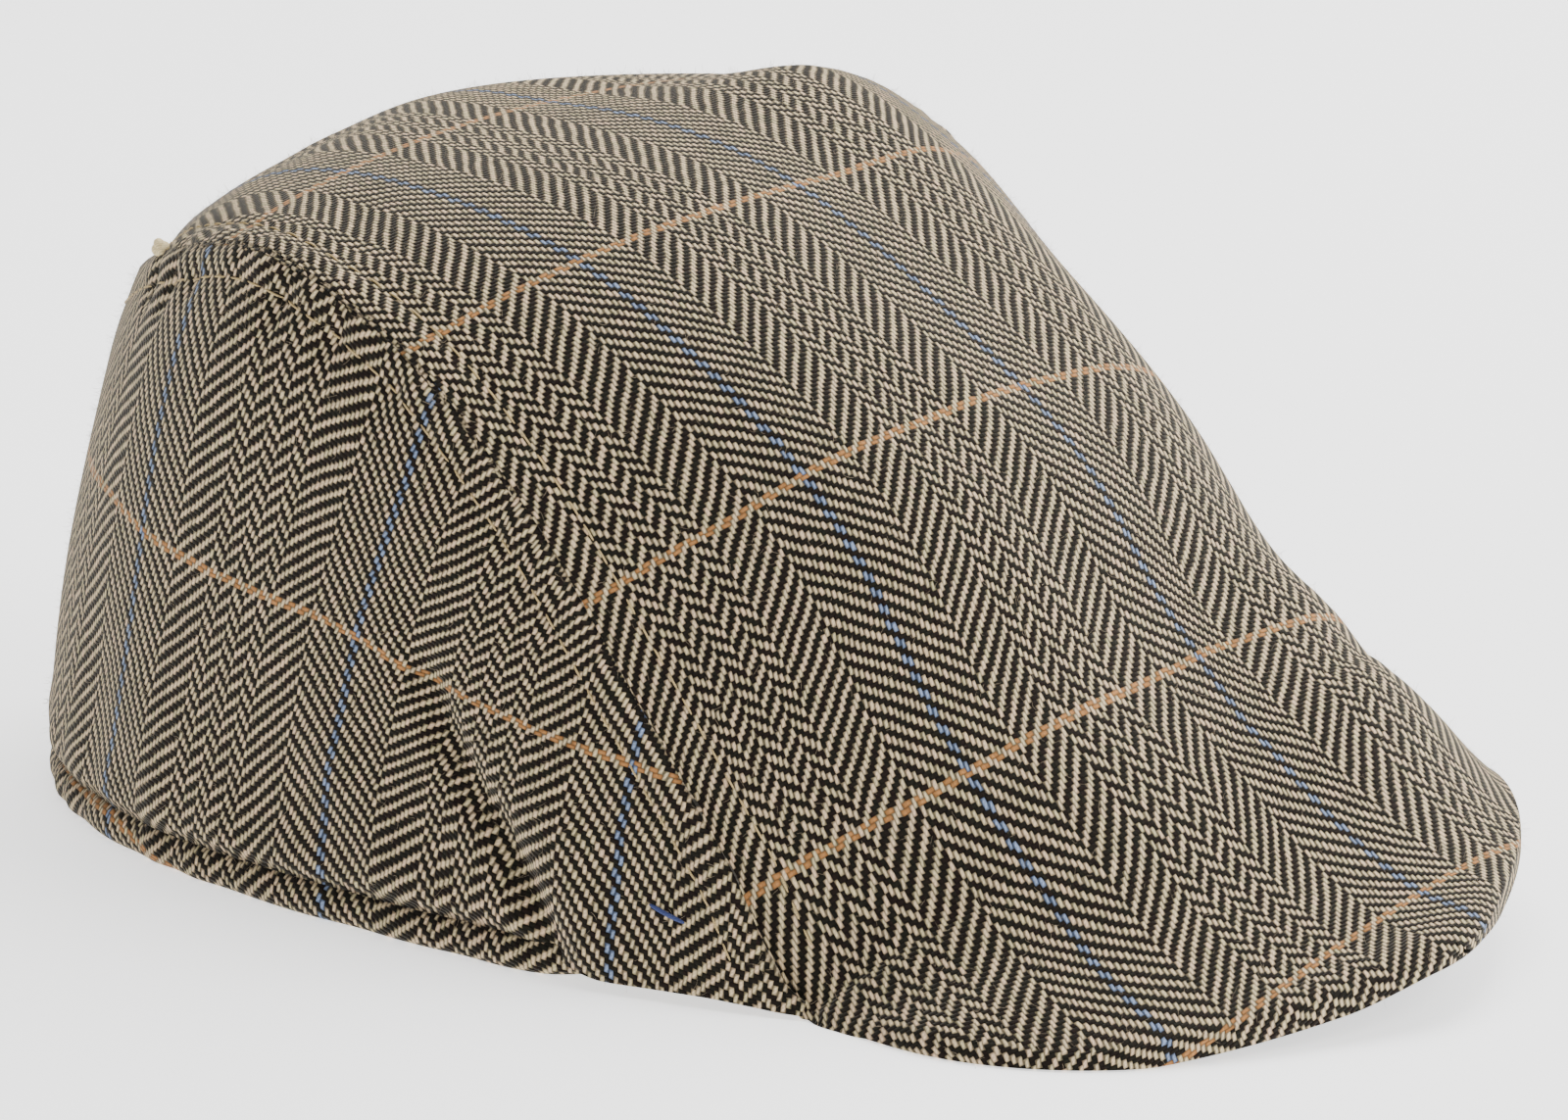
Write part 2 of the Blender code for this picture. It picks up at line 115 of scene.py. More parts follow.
@dataclass(frozen=True)
class CapForm:
    """The cap's sizes in metres, and the curved surfaces that follow from them."""

    crown_length: float = 0.193
    peak_reach: float = 0.074
    height: float = 0.117
    top_width: float = 0.158
    rim_width: float = 0.172
    rim_length: float = 0.246
    back_swell: float = 0.0036
    rim_squareness: float = 2.5
    lip: float = 0.0035
    lip_share: float = 0.025
    lip_run: tuple[float, float] = (0.97, 1.05)
    tip_run: tuple[float, float] = (1.4, 1.75)
    tip_bow: float = 1.6
    tip_raise: float = 0.0016
    tip_raise_run: tuple[float, float] = (1.84, 1.96)
    lip_swell: Swell = Swell(1.48, 0.34, 0.0052)
    twist: float = math.radians(8.7)
    twist_run: tuple[float, float] = (1.0, 1.65)
    lean_at_rim: float = math.radians(0.5)
    lean_at_seam: float = math.radians(19)
    hem_shows: float = 0.006
    hem_tuck: tuple[float, float] = (0.78, 0.86)
    front_shows: float = 0.0019
    front_drop: tuple[float, float] = (0.92, 1.0)
    seam_end: int = 9
    ribs: tuple[Rib, ...] = (
        Rib(0.00, 0.002, 0.680, 0.002, 0.680, 2.3),
        Rib(0.30, 0.060, 0.705, 0.052, 0.740, 2.3),
        Rib(0.62, 0.170, 0.775, 0.142, 0.838, 2.4),
        Rib(0.87, 0.305, 0.865, 0.283, 0.983, 2.4),
        Rib(0.99, 0.455, 0.915, 0.477, 0.994, 2.5),
        Rib(0.97, 0.590, 0.820, 0.660, 0.960, 2.5),
        Rib(0.93, 0.710, 0.630, 0.825, 0.838, 2.7),
        Rib(0.92, 0.825, 0.400, 0.975, 0.656, 2.9),
        Rib(0.91, 0.925, 0.195, 1.220, 0.428, 3.1),
        Rib(0.88, 1.000, 0.022, 1.450, 0.308, 3.3),
        Rib(0.84, 1.370, 0.073, 1.640, 0.198, 2.9),
        Rib(0.63, 1.695, 0.072, 1.830, 0.134, 2.6),
        Rib(0.30, 1.900, 0.067, 1.955, 0.115, 2.4),
        Rib(0.00, 2.000, 0.068, 2.000, 0.098, 2.2),
    )
    swells: tuple[Swell, ...] = (Swell(0.45, 0.09, 0.0045), Swell(1.13, 0.24, 0.0085))
    swell_across: tuple[float, float] = (-0.35, 0.55)
    sag: Swell = Swell(1.10, 0.24, 0.0034)
    full_runs: tuple[float, ...] = (0.43, 0.48, 0.53, 0.70, 0.83, 0.97, 1.10, 1.22, 1.28, 1.35, 1.43)
    full_heights: tuple[float, ...] = (
        0, 0.0014, 0.0036, 0.0039, 0.0032, 0.0026, 0.0034, 0.0042, 0.0038, 0.0016, 0
    )
    full_from: tuple[float, float] = (0.010, 0.044)
    full_over: tuple[float, float] = (0.008, 0.038)
    lip_swell_across: tuple[float, float] = (0.55, 0.97)
    swell_fullness: int = 4
    sag_sharpness: int = 8
    front_drop_share: float = 0.6
    clearance: float = 0.3 * MM
    curve_points: int = 121
    seam_points: int = 400

    def back(self) -> float:
        """Place of the rim's centre back along Y."""
        return (self.crown_length + self.peak_reach - self.back_swell) / 2

    def run_to_y(self, run: float) -> float:
        """Place along Y of a run: 0 at the centre back, 1 at the seams' ends, 2 at the tip."""
        return self.back() - min(run, 1) * self.crown_length - max(run - 1, 0) * self.peak_reach

    def y_to_run(self, y: np.ndarray) -> np.ndarray:
        """Runs of places along Y."""
        crown = (self.back() - y) / self.crown_length
        return np.where(crown <= 1, crown, 1 + (crown - 1) * self.crown_length / self.peak_reach)

    def rib_at(self, along: np.ndarray) -> np.ndarray:
        """Ribs in metres at places along the top panel.

        Args:
            along: 0 to 1 over the crown and 1 to 2 over the peak.

        Returns:
            Rows of half width, edge y, edge z, crest y, crest z and fullness.
        """
        rows = np.array([
            (
                rib.half * self.top_width / 2,
                self.run_to_y(rib.edge_run),
                rib.edge_up * self.height,
                self.run_to_y(rib.crest_run),
                rib.crest_up * self.height,
                rib.fullness,
            )
            for rib in self.ribs
        ])
        edge = np.linalg.norm(np.diff(rows[:, :3], axis=0), axis=1)
        crest = np.linalg.norm(np.diff(rows[:, 3:5], axis=0), axis=1)
        knots = np.concatenate([[0], np.cumsum((edge + crest) / 2)])
        before, after = rows[1].copy(), rows[-2].copy()
        for end, beyond, near in ((0, before, 1), (-1, after, -2)):
            beyond[0] = -beyond[0]
            beyond[3:5] = 2 * rows[end, 3:5] - rows[near, 3:5]
        seam = knots[self.seam_end]
        along = np.asarray(along, float)
        at = np.minimum(along, 1) * seam + np.maximum(along - 1, 0) * (knots[-1] - seam)
        knots = np.concatenate([[2 * knots[0] - knots[1]], knots, [2 * knots[-1] - knots[-2]]])
        return smooth_rows(at, knots, np.vstack([before, rows, after]))

    def twisted(self, points: np.ndarray) -> np.ndarray:
        """Points with the peak's twist, which lifts its left side and lowers its right side.

        Args:
            points: points in metres.

        Returns:
            The points moved.
        """
        moved = points.copy()
        weight = ramp(self.y_to_run(points[..., 1]), *self.twist_run)
        moved[..., 2] += math.tan(self.twist) * points[..., 0] * weight
        return moved

    def filled(self, points: np.ndarray) -> np.ndarray:
        """Points with the fuller cloth of the left side, which stands up higher over the front slope.

        Args:
            points: points in metres.

        Returns:
            The points moved.
        """
        moved = points.copy()
        run = self.y_to_run(points[..., 1])
        share = ramp(points[..., 0], *self.full_from) * ramp(points[..., 2], *self.full_over)
        moved[..., 2] += np.interp(run, self.full_runs, self.full_heights) * share
        return moved

    def top(self, along: np.ndarray, across: np.ndarray) -> np.ndarray:
        """Outer surface of the top panel, with its lip turned down round the peak.

        Args:
            along: 0 to 1 over the crown and 1 to 2 over the peak.
            across: -1 at the right edge to 1 at the left edge.

        Returns:
            A grid of points in metres, with a row for each place along.
        """
        rib = rib_at_columns(self.rib_at(along))
        half, edge_y, edge_z, crest_y, crest_z, fullness = rib
        raised = self.tip_raise * ramp(along, *self.tip_raise_run)[:, None]
        edge_z = edge_z + raised
        lip = self.lip * ramp(along, *self.lip_run)[:, None] - raised
        share = np.abs(across)[None, :]
        out = np.clip((1 - share) / self.lip_share, 0, 1)
        turned = lip * np.sqrt(np.maximum(1 - (1 - out) ** 2, 0))
        fall = fall_of(share, self.lip_share, fullness)

        x = half * across[None, :]
        bulge = self.lip_swell.over(along)[:, None] * ramp(-across, *self.lip_swell_across)[None, :]
        x = x - bulge * ramp(along, *self.lip_run)[:, None]

        tip = ramp(along, *self.tip_run)[:, None]
        bow = fullness + (self.tip_bow - fullness) * tip
        y = edge_y + (crest_y - edge_y) * fall_of(share, self.lip_share, bow)

        rise = sum(swell.over(along) for swell in self.swells)[:, None]
        swollen = fall_of(share, self.lip_share, self.swell_fullness)
        stand = rise * ramp(across, *self.swell_across)[None, :] * swollen
        z = edge_z + turned + np.maximum(crest_z - edge_z - lip, 0) * fall + stand
        z = z - self.sag.over(along)[:, None] * share**self.sag_sharpness

        points = self.filled(self.twisted(np.stack([x, y, z], axis=-1)))
        points[..., 2] = np.maximum(points[..., 2], self.clearance)
        return points

    def rim(self, along: np.ndarray) -> np.ndarray:
        """Lower edge of the left side panel on the floor.

        Args:
            along: 0 at the centre back to 1 at the seam's end.

        Returns:
            Points in metres.
        """
        along = np.asarray(along, float)
        end = self.rib_at(np.array([1.0]))[0]
        reach = self.rim_length / 2
        middle = self.back() - reach
        share = (end[1] - middle) / reach
        last = math.acos(math.copysign(abs(share) ** (self.rim_squareness / 2), share))
        power = 2 / self.rim_squareness
        angle = along * last
        y = middle + reach * np.sign(np.cos(angle)) * np.abs(np.cos(angle)) ** power
        x = self.rim_width / 2 * np.abs(np.sin(angle)) ** power
        x = x + along**3 * (end[0] - self.rim_width / 2 * math.sin(last) ** power)
        return np.stack([x, y, np.zeros_like(x)], axis=-1)

    def side_curves(self, along: np.ndarray) -> tuple[np.ndarray, np.ndarray]:
        """Curves of the left side panel from the rim up to the seam.

        Args:
            along: 0 at the centre back to 1 at the seam's end, rising.

        Returns:
            A row of points for each place along, and the outward direction at the rim there.
        """
        seam, rim = self.rib_at(along)[:, :3], self.rim(along)
        tangent = np.gradient(rim, axis=0)
        outward = np.stack([-tangent[:, 1], tangent[:, 0], np.zeros(len(rim))], axis=-1)
        outward /= np.linalg.norm(outward, axis=1, keepdims=True)
        outward[0] = (0, 1, 0)
        up = np.array([0, 0, 1])
        chord = np.linalg.norm(seam - rim, axis=1, keepdims=True)
        start = (outward * math.sin(self.lean_at_rim) + up * math.cos(self.lean_at_rim)) * chord
        end = (up * math.cos(self.lean_at_seam) - outward * math.sin(self.lean_at_seam)) * chord
        w = np.linspace(0, 1, self.curve_points)[None, :, None]
        return curve_between(w, rim[:, None], start[:, None], seam[:, None], end[:, None]), outward

    def lower_edge(self, along: np.ndarray) -> np.ndarray:
        """Height of a side panel's lower edge, over the hem band at the back and down to the floor in front.

        Args:
            along: 0 at the centre back to 1 at the seam's end.

        Returns:
            Heights in metres.
        """
        tucked = ramp(along, *self.hem_tuck)
        front = self.front_shows * (1 - self.front_drop_share * ramp(along, *self.front_drop))
        return self.hem_shows * (1 - tucked) + front * tucked

    def side(self, along: np.ndarray, up: np.ndarray) -> np.ndarray:
        """Outer surface of the left side panel.

        Args:
            along: 0 at the centre back to 1 at the seam's end, rising.
            up: 0 at the panel's lower edge to 1 at the seam.

        Returns:
            A grid of points in metres, with a row for each place along.
        """
        curves, _ = self.side_curves(along)
        w = np.linspace(0, 1, curves.shape[1])
        grid = np.empty((len(along), len(up), 3))
        for i, (curve, low) in enumerate(zip(curves, self.lower_edge(along))):
            first = np.interp(min(low, curve[-1, 2] / 2), curve[:, 2], w)
            places = first + (1 - first) * up
            grid[i] = np.stack([np.interp(places, w, curve[:, axis]) for axis in range(3)], axis=-1)
        return grid

    def seam(self) -> np.ndarray:
        """Fine line of the left seam, from the centre back to its front end."""
        return self.rib_at(np.linspace(0, 1, self.seam_points))[:, :3]


def fall_of(share: np.ndarray, lip_share: float, exponent: Union[float, np.ndarray]) -> np.ndarray:
    """Share of the crest's height that is left at a share of the way to the lip."""
    return 1 - np.minimum(share / (1 - lip_share), 1) ** exponent


def rib_at_columns(ribs: np.ndarray) -> list[np.ndarray]:
    """The six values of the ribs as columns that spread over a grid."""
    return [ribs[:, i:i + 1] for i in range(6)]


def ramp(value: Union[float, np.ndarray], start: float, end: float) -> np.ndarray:
    """Smooth step from 0 at start to 1 at end."""
    u = np.clip((np.asarray(value, float) - start) / (end - start), 0, 1)
    return u * u * (3 - 2 * u)


def bell(distance: np.ndarray, width: float) -> np.ndarray:
    """1 where the distance is 0, falling smoothly to almost 0 at twice the width."""
    return np.exp(-((distance / width) ** 2))


def puckers(along: np.ndarray, pitch: float, wander: float, rate: float) -> np.ndarray:
    """Uneven waves along a seam, from 0.2 to 1, whose pitch shifts by wander at a rate."""
    return 0.6 + 0.4 * np.sin(along * 2 * math.pi / pitch + wander * np.sin(along * rate))


def curve_between(
    u: np.ndarray,
    first: np.ndarray,
    first_slope: np.ndarray,
    last: np.ndarray,
    last_slope: np.ndarray,
    step: Union[float, np.ndarray] = 1.0,
) -> np.ndarray:
    """Smooth curve from one point to another.

    Args:
        u: places along it, from 0 to 1.
        first: its first point.
        first_slope: its slope there.
        last: its last point.
        last_slope: its slope there.
        step: the length over which the slopes hold.

    Returns:
        The points at these places.
    """
    return (
        (2 * u**3 - 3 * u**2 + 1) * first
        + (u**3 - 2 * u**2 + u) * step * first_slope
        + (-2 * u**3 + 3 * u**2) * last
        + (u**3 - u**2) * step * last_slope
    )


def smooth_rows(at: np.ndarray, knots: np.ndarray, rows: np.ndarray) -> np.ndarray:
    """Curve through rows of numbers, with slopes taken from the rows on both sides.

    Args:
        at: places where the curve is read.
        knots: the place of each row, rising.
        rows: the rows.

    Returns:
        A row for each place.
    """
    steps = np.diff(knots)[:, None]
    slopes = np.diff(rows, axis=0) / steps
    inner = (slopes[:-1] * steps[1:] + slopes[1:] * steps[:-1]) / (steps[1:] + steps[:-1])
    slopes = np.vstack([slopes[:1], inner, slopes[-1:]])
    i = np.clip(np.searchsorted(knots, at, side="right") - 1, 0, len(knots) - 2)
    u = (at[:, None] - knots[i][:, None]) / steps[i]
    return curve_between(u, rows[i], slopes[i], rows[i + 1], slopes[i + 1], steps[i])


def normals_of(grid: np.ndarray) -> np.ndarray:
    """Unit normals of a grid of points, by the slopes along both of its directions."""
    normals = np.cross(np.gradient(grid, axis=0), np.gradient(grid, axis=1))
    return normals / np.maximum(np.linalg.norm(normals, axis=2, keepdims=True), 1e-12)


def lengths_along(grid: np.ndarray, axis: int) -> np.ndarray:
    """Length from the first row or column to each point.

    Args:
        grid: points in metres.
        axis: 0 to measure down the rows, 1 to measure over the columns.

    Returns:
        A length in metres for each point.
    """
    steps = np.linalg.norm(np.diff(grid, axis=axis), axis=2)
    total = np.cumsum(steps, axis=axis)
    pad = [(1, 0), (0, 0)] if axis == 0 else [(0, 0), (1, 0)]
    return np.pad(total, pad)


def lengths_of(line: np.ndarray) -> np.ndarray:
    """Length from the start of a line of points to each of them."""
    return np.concatenate([[0], np.cumsum(np.linalg.norm(np.diff(line, axis=0), axis=1))])


def nearest_on(points: np.ndarray, line: np.ndarray) -> tuple[np.ndarray, np.ndarray]:
    """Nearest point of a fine line to each of many points.

    Args:
        points: a list of points.
        line: fine line of points.

    Returns:
        The number of the line's nearest point, and its distance, for each point.
    """
    nearest, away = np.empty(len(points), dtype=int), np.empty(len(points))
    for first in range(0, len(points), POINTS_AT_ONCE):
        part = slice(first, first + POINTS_AT_ONCE)
        squared = ((points[part, None] - line[None]) ** 2).sum(axis=2)
        nearest[part] = squared.argmin(axis=1)
        away[part] = np.sqrt(squared.min(axis=1))
    return nearest, away


def distance_to(points: np.ndarray, line: np.ndarray) -> np.ndarray:
    """Distance from each point of a grid to a fine line of points."""
    return nearest_on(points.reshape(-1, 3), line)[1].reshape(points.shape[:-1])


def fold_depth(points: np.ndarray, line: np.ndarray, fold: Fold) -> np.ndarray:
    """Depth of one fold on a grid.

    Args:
        points: the grid, in metres.
        line: fine line of points that the fold follows.
        fold: its depth and width.

    Returns:
        Depth in metres at each point, inward where positive, that fades at both ends of the line.
    """
    nearest, away = nearest_on(points.reshape(-1, 3), line)
    fade = np.interp(nearest / (len(line) - 1), FOLD_SHARES, FOLD_FADE)
    return (fold.depth * fade * bell(away, fold.width)).reshape(points.shape[:-1])


def line_on(points: np.ndarray, rows: np.ndarray, columns: np.ndarray, places: Any) -> np.ndarray:
    """Fine line of points on a grid.

    Args:
        points: the grid, in metres.
        rows: place of each row, rising.
        columns: place of each column, rising.
        places: pairs of a row's place and a column's place that the line passes through.

    Returns:
        Points in even steps along it.
    """
    places = np.asarray(places, float)
    turns = np.linspace(0, len(places) - 1, LINE_POINTS)
    at = [np.interp(turns, np.arange(len(places)), places[:, k]) for k in range(2)]
    i = np.interp(at[0], rows, np.arange(len(rows)))
    j = np.interp(at[1], columns, np.arange(len(columns)))
    return grid_at(points, i, j)


def grid_at(points: np.ndarray, i: np.ndarray, j: np.ndarray) -> np.ndarray:
    """Points between the rows and columns of a grid.

    Args:
        points: the grid.
        i: row numbers, which needn't be whole.
        j: column numbers, which needn't be whole.

    Returns:
        A point for each pair of numbers.
    """
    i0 = np.clip(np.floor(i).astype(int), 0, points.shape[0] - 2)
    j0 = np.clip(np.floor(j).astype(int), 0, points.shape[1] - 2)
    u, v = (i - i0)[:, None], (j - j0)[:, None]
    near = points[i0, j0] * (1 - v) + points[i0, j0 + 1] * v
    far = points[i0 + 1, j0] * (1 - v) + points[i0 + 1, j0 + 1] * v
    return near * (1 - u) + far * u


def place_between(
    value: np.ndarray, other: np.ndarray, at: tuple[float, ...], lines: Any, places: Any
) -> np.ndarray:
    """Places on the cloth of points that lie between known threads.

    Args:
        value: lengths that the threads' places are measured by.
        other: lengths the other way.
        at: the lengths the other way for which the threads' places are given.
        lines: the places of each thread there, rising from thread to thread.
        places: each thread's own place on the cloth.

    Returns:
        A place for each point, in the threads' unit.
    """
    knots = [np.interp(other, at, line) for line in lines]
    result = np.zeros_like(value)
    for k in range(len(knots) - 1):
        share = (value - knots[k]) / (knots[k + 1] - knots[k])
        here = ((share >= 0) | (k == 0)) & ((share < 1) | (k == len(knots) - 2))
        result = np.where(here, places[k] + share * (places[k + 1] - places[k]), result)
    return result


def ripples(u: np.ndarray, v: np.ndarray) -> np.ndarray:
    """Slow unevenness of relaxed cloth, from -1 to 1, at places in metres."""
    waves = ((61, 17, 0.4), (-38, 52, 1.9), (23, -71, 3.1), (97, 44, 5.2), (-83, 90, 0.9))
    return sum(np.sin(a * u + b * v + shift) for a, b, shift in waves) / len(waves)


class Expr:
    """One value in a node tree, on which arithmetic adds Math nodes."""

    def __init__(self, nodes: "NodeMaker", value: Any) -> None:
        """Wrap a socket of the tree."""
        self.nodes = nodes
        self.value = value

    def _math(self, operation: str, *values: Any) -> "Expr":
        """Result of a Math node on these values."""
        node = self.nodes.add("ShaderNodeMath", {"operation": operation}, dict(enumerate(values)))
        return Expr(self.nodes, node.outputs[0])

    def __add__(self, other: Any) -> "Expr":
        """Sum."""
        return self._math("ADD", self, other)

    __radd__ = __add__

    def __sub__(self, other: Any) -> "Expr":
        """Difference."""
        return self._math("SUBTRACT", self, other)

    def __rsub__(self, other: Any) -> "Expr":
        """Difference from a number."""
        return self._math("SUBTRACT", other, self)

    def __mul__(self, other: Any) -> "Expr":
        """Product."""
        return self._math("MULTIPLY", self, other)

    __rmul__ = __mul__

    def __truediv__(self, other: Any) -> "Expr":
        """Quotient."""
        return self._math("DIVIDE", self, other)

    def __mod__(self, other: Any) -> "Expr":
        """Remainder, never negative."""
        return self._math("FLOORED_MODULO", self, other)

    def __pow__(self, other: Any) -> "Expr":
        """Power."""
        return self._math("POWER", self, other)

    def __gt__(self, other: Any) -> "Expr":
        """1 where greater, else 0."""
        return self._math("GREATER_THAN", self, other)

    def __lt__(self, other: Any) -> "Expr":
        """1 where less, else 0."""
        return self._math("LESS_THAN", self, other)

    def floor(self) -> "Expr":
        """Whole part."""
        return self._math("FLOOR", self)

    def abs(self) -> "Expr":
        """Size without sign."""
        return self._math("ABSOLUTE", self)

    def sine(self) -> "Expr":
        """Sine."""
        return self._math("SINE", self)

    def at_least(self, other: Any) -> "Expr":
        """The greater of two values."""
        return self._math("MAXIMUM", self, other)

    def blended(self, other: "Expr", share: "Expr") -> "Expr":
        """This value where share is 0, the other where it is 1."""
        return self + (other - self) * share


class NodeMaker:
    """Adds the nodes of one material."""

    def __init__(self, name: str) -> None:
        """Start a material with a Principled shader and its output.

        Args:
            name: the material's name.
        """
        self.material = bpy.data.materials.new(name)
        self.material.use_nodes = True
        self.tree = self.material.node_tree
        self.shader = self.tree.nodes["Principled BSDF"]

    def add(
        self, kind: str, settings: dict[str, Any] | None = None, inputs: dict[Any, Any] | None = None
    ) -> Any:
        """A new node.

        Args:
            kind: the node's type.
            settings: its properties, set before its sockets.
            inputs: a number, a colour, a socket or an Expr for each named or numbered socket.

        Returns:
            The node.
        """
        node = self.tree.nodes.new(kind)
        for name, value in (settings or {}).items():
            setattr(node, name, value)
        self.feed(node, inputs or {})
        return node

    def feed(self, node: Any, inputs: dict[Any, Any]) -> None:
        """Set or link the sockets of a node.

        Args:
            node: the node.
            inputs: a number, a colour, a socket or an Expr for each named or numbered socket.
        """
        for key, value in inputs.items():
            if isinstance(value, Expr):
                value = value.value
            if isinstance(value, bpy.types.NodeSocket):
                self.tree.links.new(value, node.inputs[key])
            else:
                node.inputs[key].default_value = value

    def expr(self, socket: Any) -> Expr:
        """A socket as a value for arithmetic."""
        return Expr(self, socket)

    def cloth_place(self) -> tuple[Expr, Expr]:
        """Place on the cloth.

        Returns:
            Millimetres across and along it.
        """
        uv = self.add("ShaderNodeUVMap", {"uv_map": CLOTH_UV})
        parts = self.add("ShaderNodeSeparateXYZ", inputs={0: uv.outputs[0]})
        return self.expr(parts.outputs[0]), self.expr(parts.outputs[1])

    def vector(self, x: Any, y: Any, z: Any = 0.0) -> Any:
        """Socket of a vector made of three values."""
        return self.add("ShaderNodeCombineXYZ", inputs={0: x, 1: y, 2: z}).outputs[0]

    def noise(self, vector: Any, scale: float, detail: float = 2.0) -> Expr:
        """Smooth noise round a half."""
        inputs = {"Vector": vector, "Scale": scale, "Detail": detail}
        return self.expr(self.add("ShaderNodeTexNoise", {"noise_dimensions": "3D"}, inputs).outputs[0])

    def chance(self, vector: Any) -> Any:
        """White noise node, with a value and a colour for each whole place."""
        return self.add("ShaderNodeTexWhiteNoise", {"noise_dimensions": "3D"}, {"Vector": vector})

    def mix(self, share: Any, first: Any, second: Any, blend: str = "MIX") -> Any:
        """Two colours mixed.

        Args:
            share: how much of the second there is.
            first: a colour or its socket.
            second: a colour or its socket.
            blend: the way of mixing.

        Returns:
            Socket of the mixed colour.
        """
        node = self.add("ShaderNodeMix", {"data_type": "RGBA", "blend_type": blend})
        self.feed(node, {0: share, 6: first, 7: second})
        return node.outputs[2]

    def shaded(self, colour: Any, light: Expr) -> Any:
        """Socket of a colour made lighter or darker by a value."""
        return self.mix(1.0, colour, self.vector(light, light, light), "MULTIPLY")

    def relief(self, height: Expr, strength: float, distance: float) -> Any:
        """Socket of a normal that follows a height."""
        inputs = {"Strength": strength, "Distance": distance, "Height": height}
        return self.add("ShaderNodeBump", {}, inputs).outputs[0]


Colour = tuple[float, float, float, float]


def srgb(red: int, green: int, blue: int) -> Colour:
    """Linear colour of a screen colour.

    Args:
        red: 0 to 255.
        green: 0 to 255.
        blue: 0 to 255.

    Returns:
        Red, green, blue and alpha, from 0 to 1.
    """
    parts = [c / 255 for c in (red, green, blue)]
    linear = [c / 12.92 if c <= 0.04045 else ((c + 0.055) / 1.055) ** 2.4 for c in parts]
    return (linear[0], linear[1], linear[2], 1.0)


@dataclass(frozen=True)
class Tweed:
    """Two-and-two twill of cream warp over dark weft, in a herringbone of broad and narrow stripes.

    A windowpane lies over it: two blue ends and two tan picks in each repeat.
    """

    repeat_across: float = 52.6
    repeat_along: float = 53.1
    blue_at: float = 3.6
    tan_at: float = 36.6
    ends: int = 70
    picks: int = 72
    stripe_edges: tuple[int, ...] = (13, 25, 29, 33, 37, 41, 45, 57)
    slant: float = 0.35
    wander: float = 0.9
    wander_scale: float = 0.24
    hair_scale: float = 3.1
    # how much the painted shade in the grooves darkens the cloth's colour
    groove_shade: float = 0.55
    nap: float = 0.35 * MM
    cream: Colour = srgb(252, 227, 185)
    cream_pink: Colour = srgb(238, 199, 165)
    cream_green: Colour = srgb(226, 218, 160)
    dark: Colour = srgb(39, 28, 24)
    dark_green: Colour = srgb(37, 36, 28)
    blue: Colour = srgb(150, 169, 204)
    tan: Colour = srgb(206, 146, 90)

    def material(self, name: str) -> bpy.types.Material:
        """The cloth as a material.

        Args:
            name: the material's name.

        Returns:
            The material.
        """
        nodes = NodeMaker(name)
        # place among the ends and picks, which wander a little
        u, v = nodes.cloth_place()
        wander_inputs = {"Vector": nodes.vector(u, v), "Scale": self.wander_scale, "Detail": 3.5}
        wander = nodes.add("ShaderNodeTexNoise", {}, wander_inputs)
        shift = nodes.add("ShaderNodeSeparateColor", inputs={0: wander.outputs[1]})
        shift_across, shift_along = (nodes.expr(shift.outputs[i]) - 0.5 for i in range(2))
        across = (u - self.blue_at + shift_across * self.wander) * (self.ends / self.repeat_across)
        along = (v - self.tan_at + shift_along * self.wander) * (self.picks / self.repeat_along)
        end, pick = across.floor(), along.floor()
        in_end, in_pick = across - end, along - pick

        # herringbone: the twill climbs and turns back at each edge of a stripe
        in_repeat = (end + 0.5) % self.ends
        phase = (end + 0.5 - in_repeat) * (2 / self.ends) - in_repeat + 0.5
        turns: Any = 0.0
        for number, edge in enumerate(self.stripe_edges):
            turn = 2 if number % 2 == 0 else -2
            phase = phase + (in_repeat - edge).at_least(0.0) * turn
            turns = (in_repeat > edge) + turns
        phase = phase + turns * 2
        rising = turns % 2

        # chance for each float of the warp
        float_number = ((phase + along) / 4).floor()
        luck = nodes.chance(nodes.vector(end, float_number))
        luck_parts = nodes.add("ShaderNodeSeparateColor", inputs={0: luck.outputs[1]})
        spread = nodes.expr(luck.outputs[0]) * 0.3 + 0.7

        # height of the rounded warp over the rounded weft
        over = (phase + along) % 4
        warp_up = over < 2
        step = ((phase + pick + 0.1) % 4).floor() - 2
        weft_along = ((1 - step).blended(step, rising) + in_end) * 0.5
        warp_round = 1 - (((in_end * 2 - 1) + (over - 1) * self.slant) / spread).abs() ** 2
        warp_arch = 1 - ((over - 1).abs()) ** 3
        weft_round = 1 - (in_pick * 2 - 1) ** 2
        weft_arch = 1 - ((weft_along * 2 - 1).abs()) ** 3
        ply = ((in_end * 2.2 + over * 2.6) * math.pi).sine() * 0.14 + 0.86
        warp_height = (warp_round.at_least(0.0) ** 0.85) * (warp_arch.at_least(0.0) ** 0.95) * ply
        weft_height = (weft_round.at_least(0.0) ** 0.6) * (weft_arch.at_least(0.0) ** 0.7) * 0.62
        height = weft_height.blended(warp_height, warp_up)

        # colours of the yarns, with the windowpane's two ends and two picks
        yarn = nodes.noise(nodes.vector(end * 3.7, along * 0.09), 1.0, 1.0)
        cream = nodes.mix(nodes.expr(luck_parts.outputs[0]) * 0.75, self.cream, self.cream_pink)
        cream = nodes.mix(nodes.expr(luck_parts.outputs[1]) * yarn, cream, self.cream_green)
        blue_end = (in_repeat - self.ends / 2).abs() > self.ends / 2 - 1
        tan_pick = ((pick + 0.5) % self.picks - self.picks / 2).abs() > self.picks / 2 - 1
        warp = nodes.mix(blue_end, cream, self.blue)
        weft = nodes.mix(nodes.expr(luck_parts.outputs[2]), self.dark, self.dark_green)
        weft = nodes.mix(tan_pick, weft, self.tan)
        colour = nodes.mix(warp_up, weft, warp)
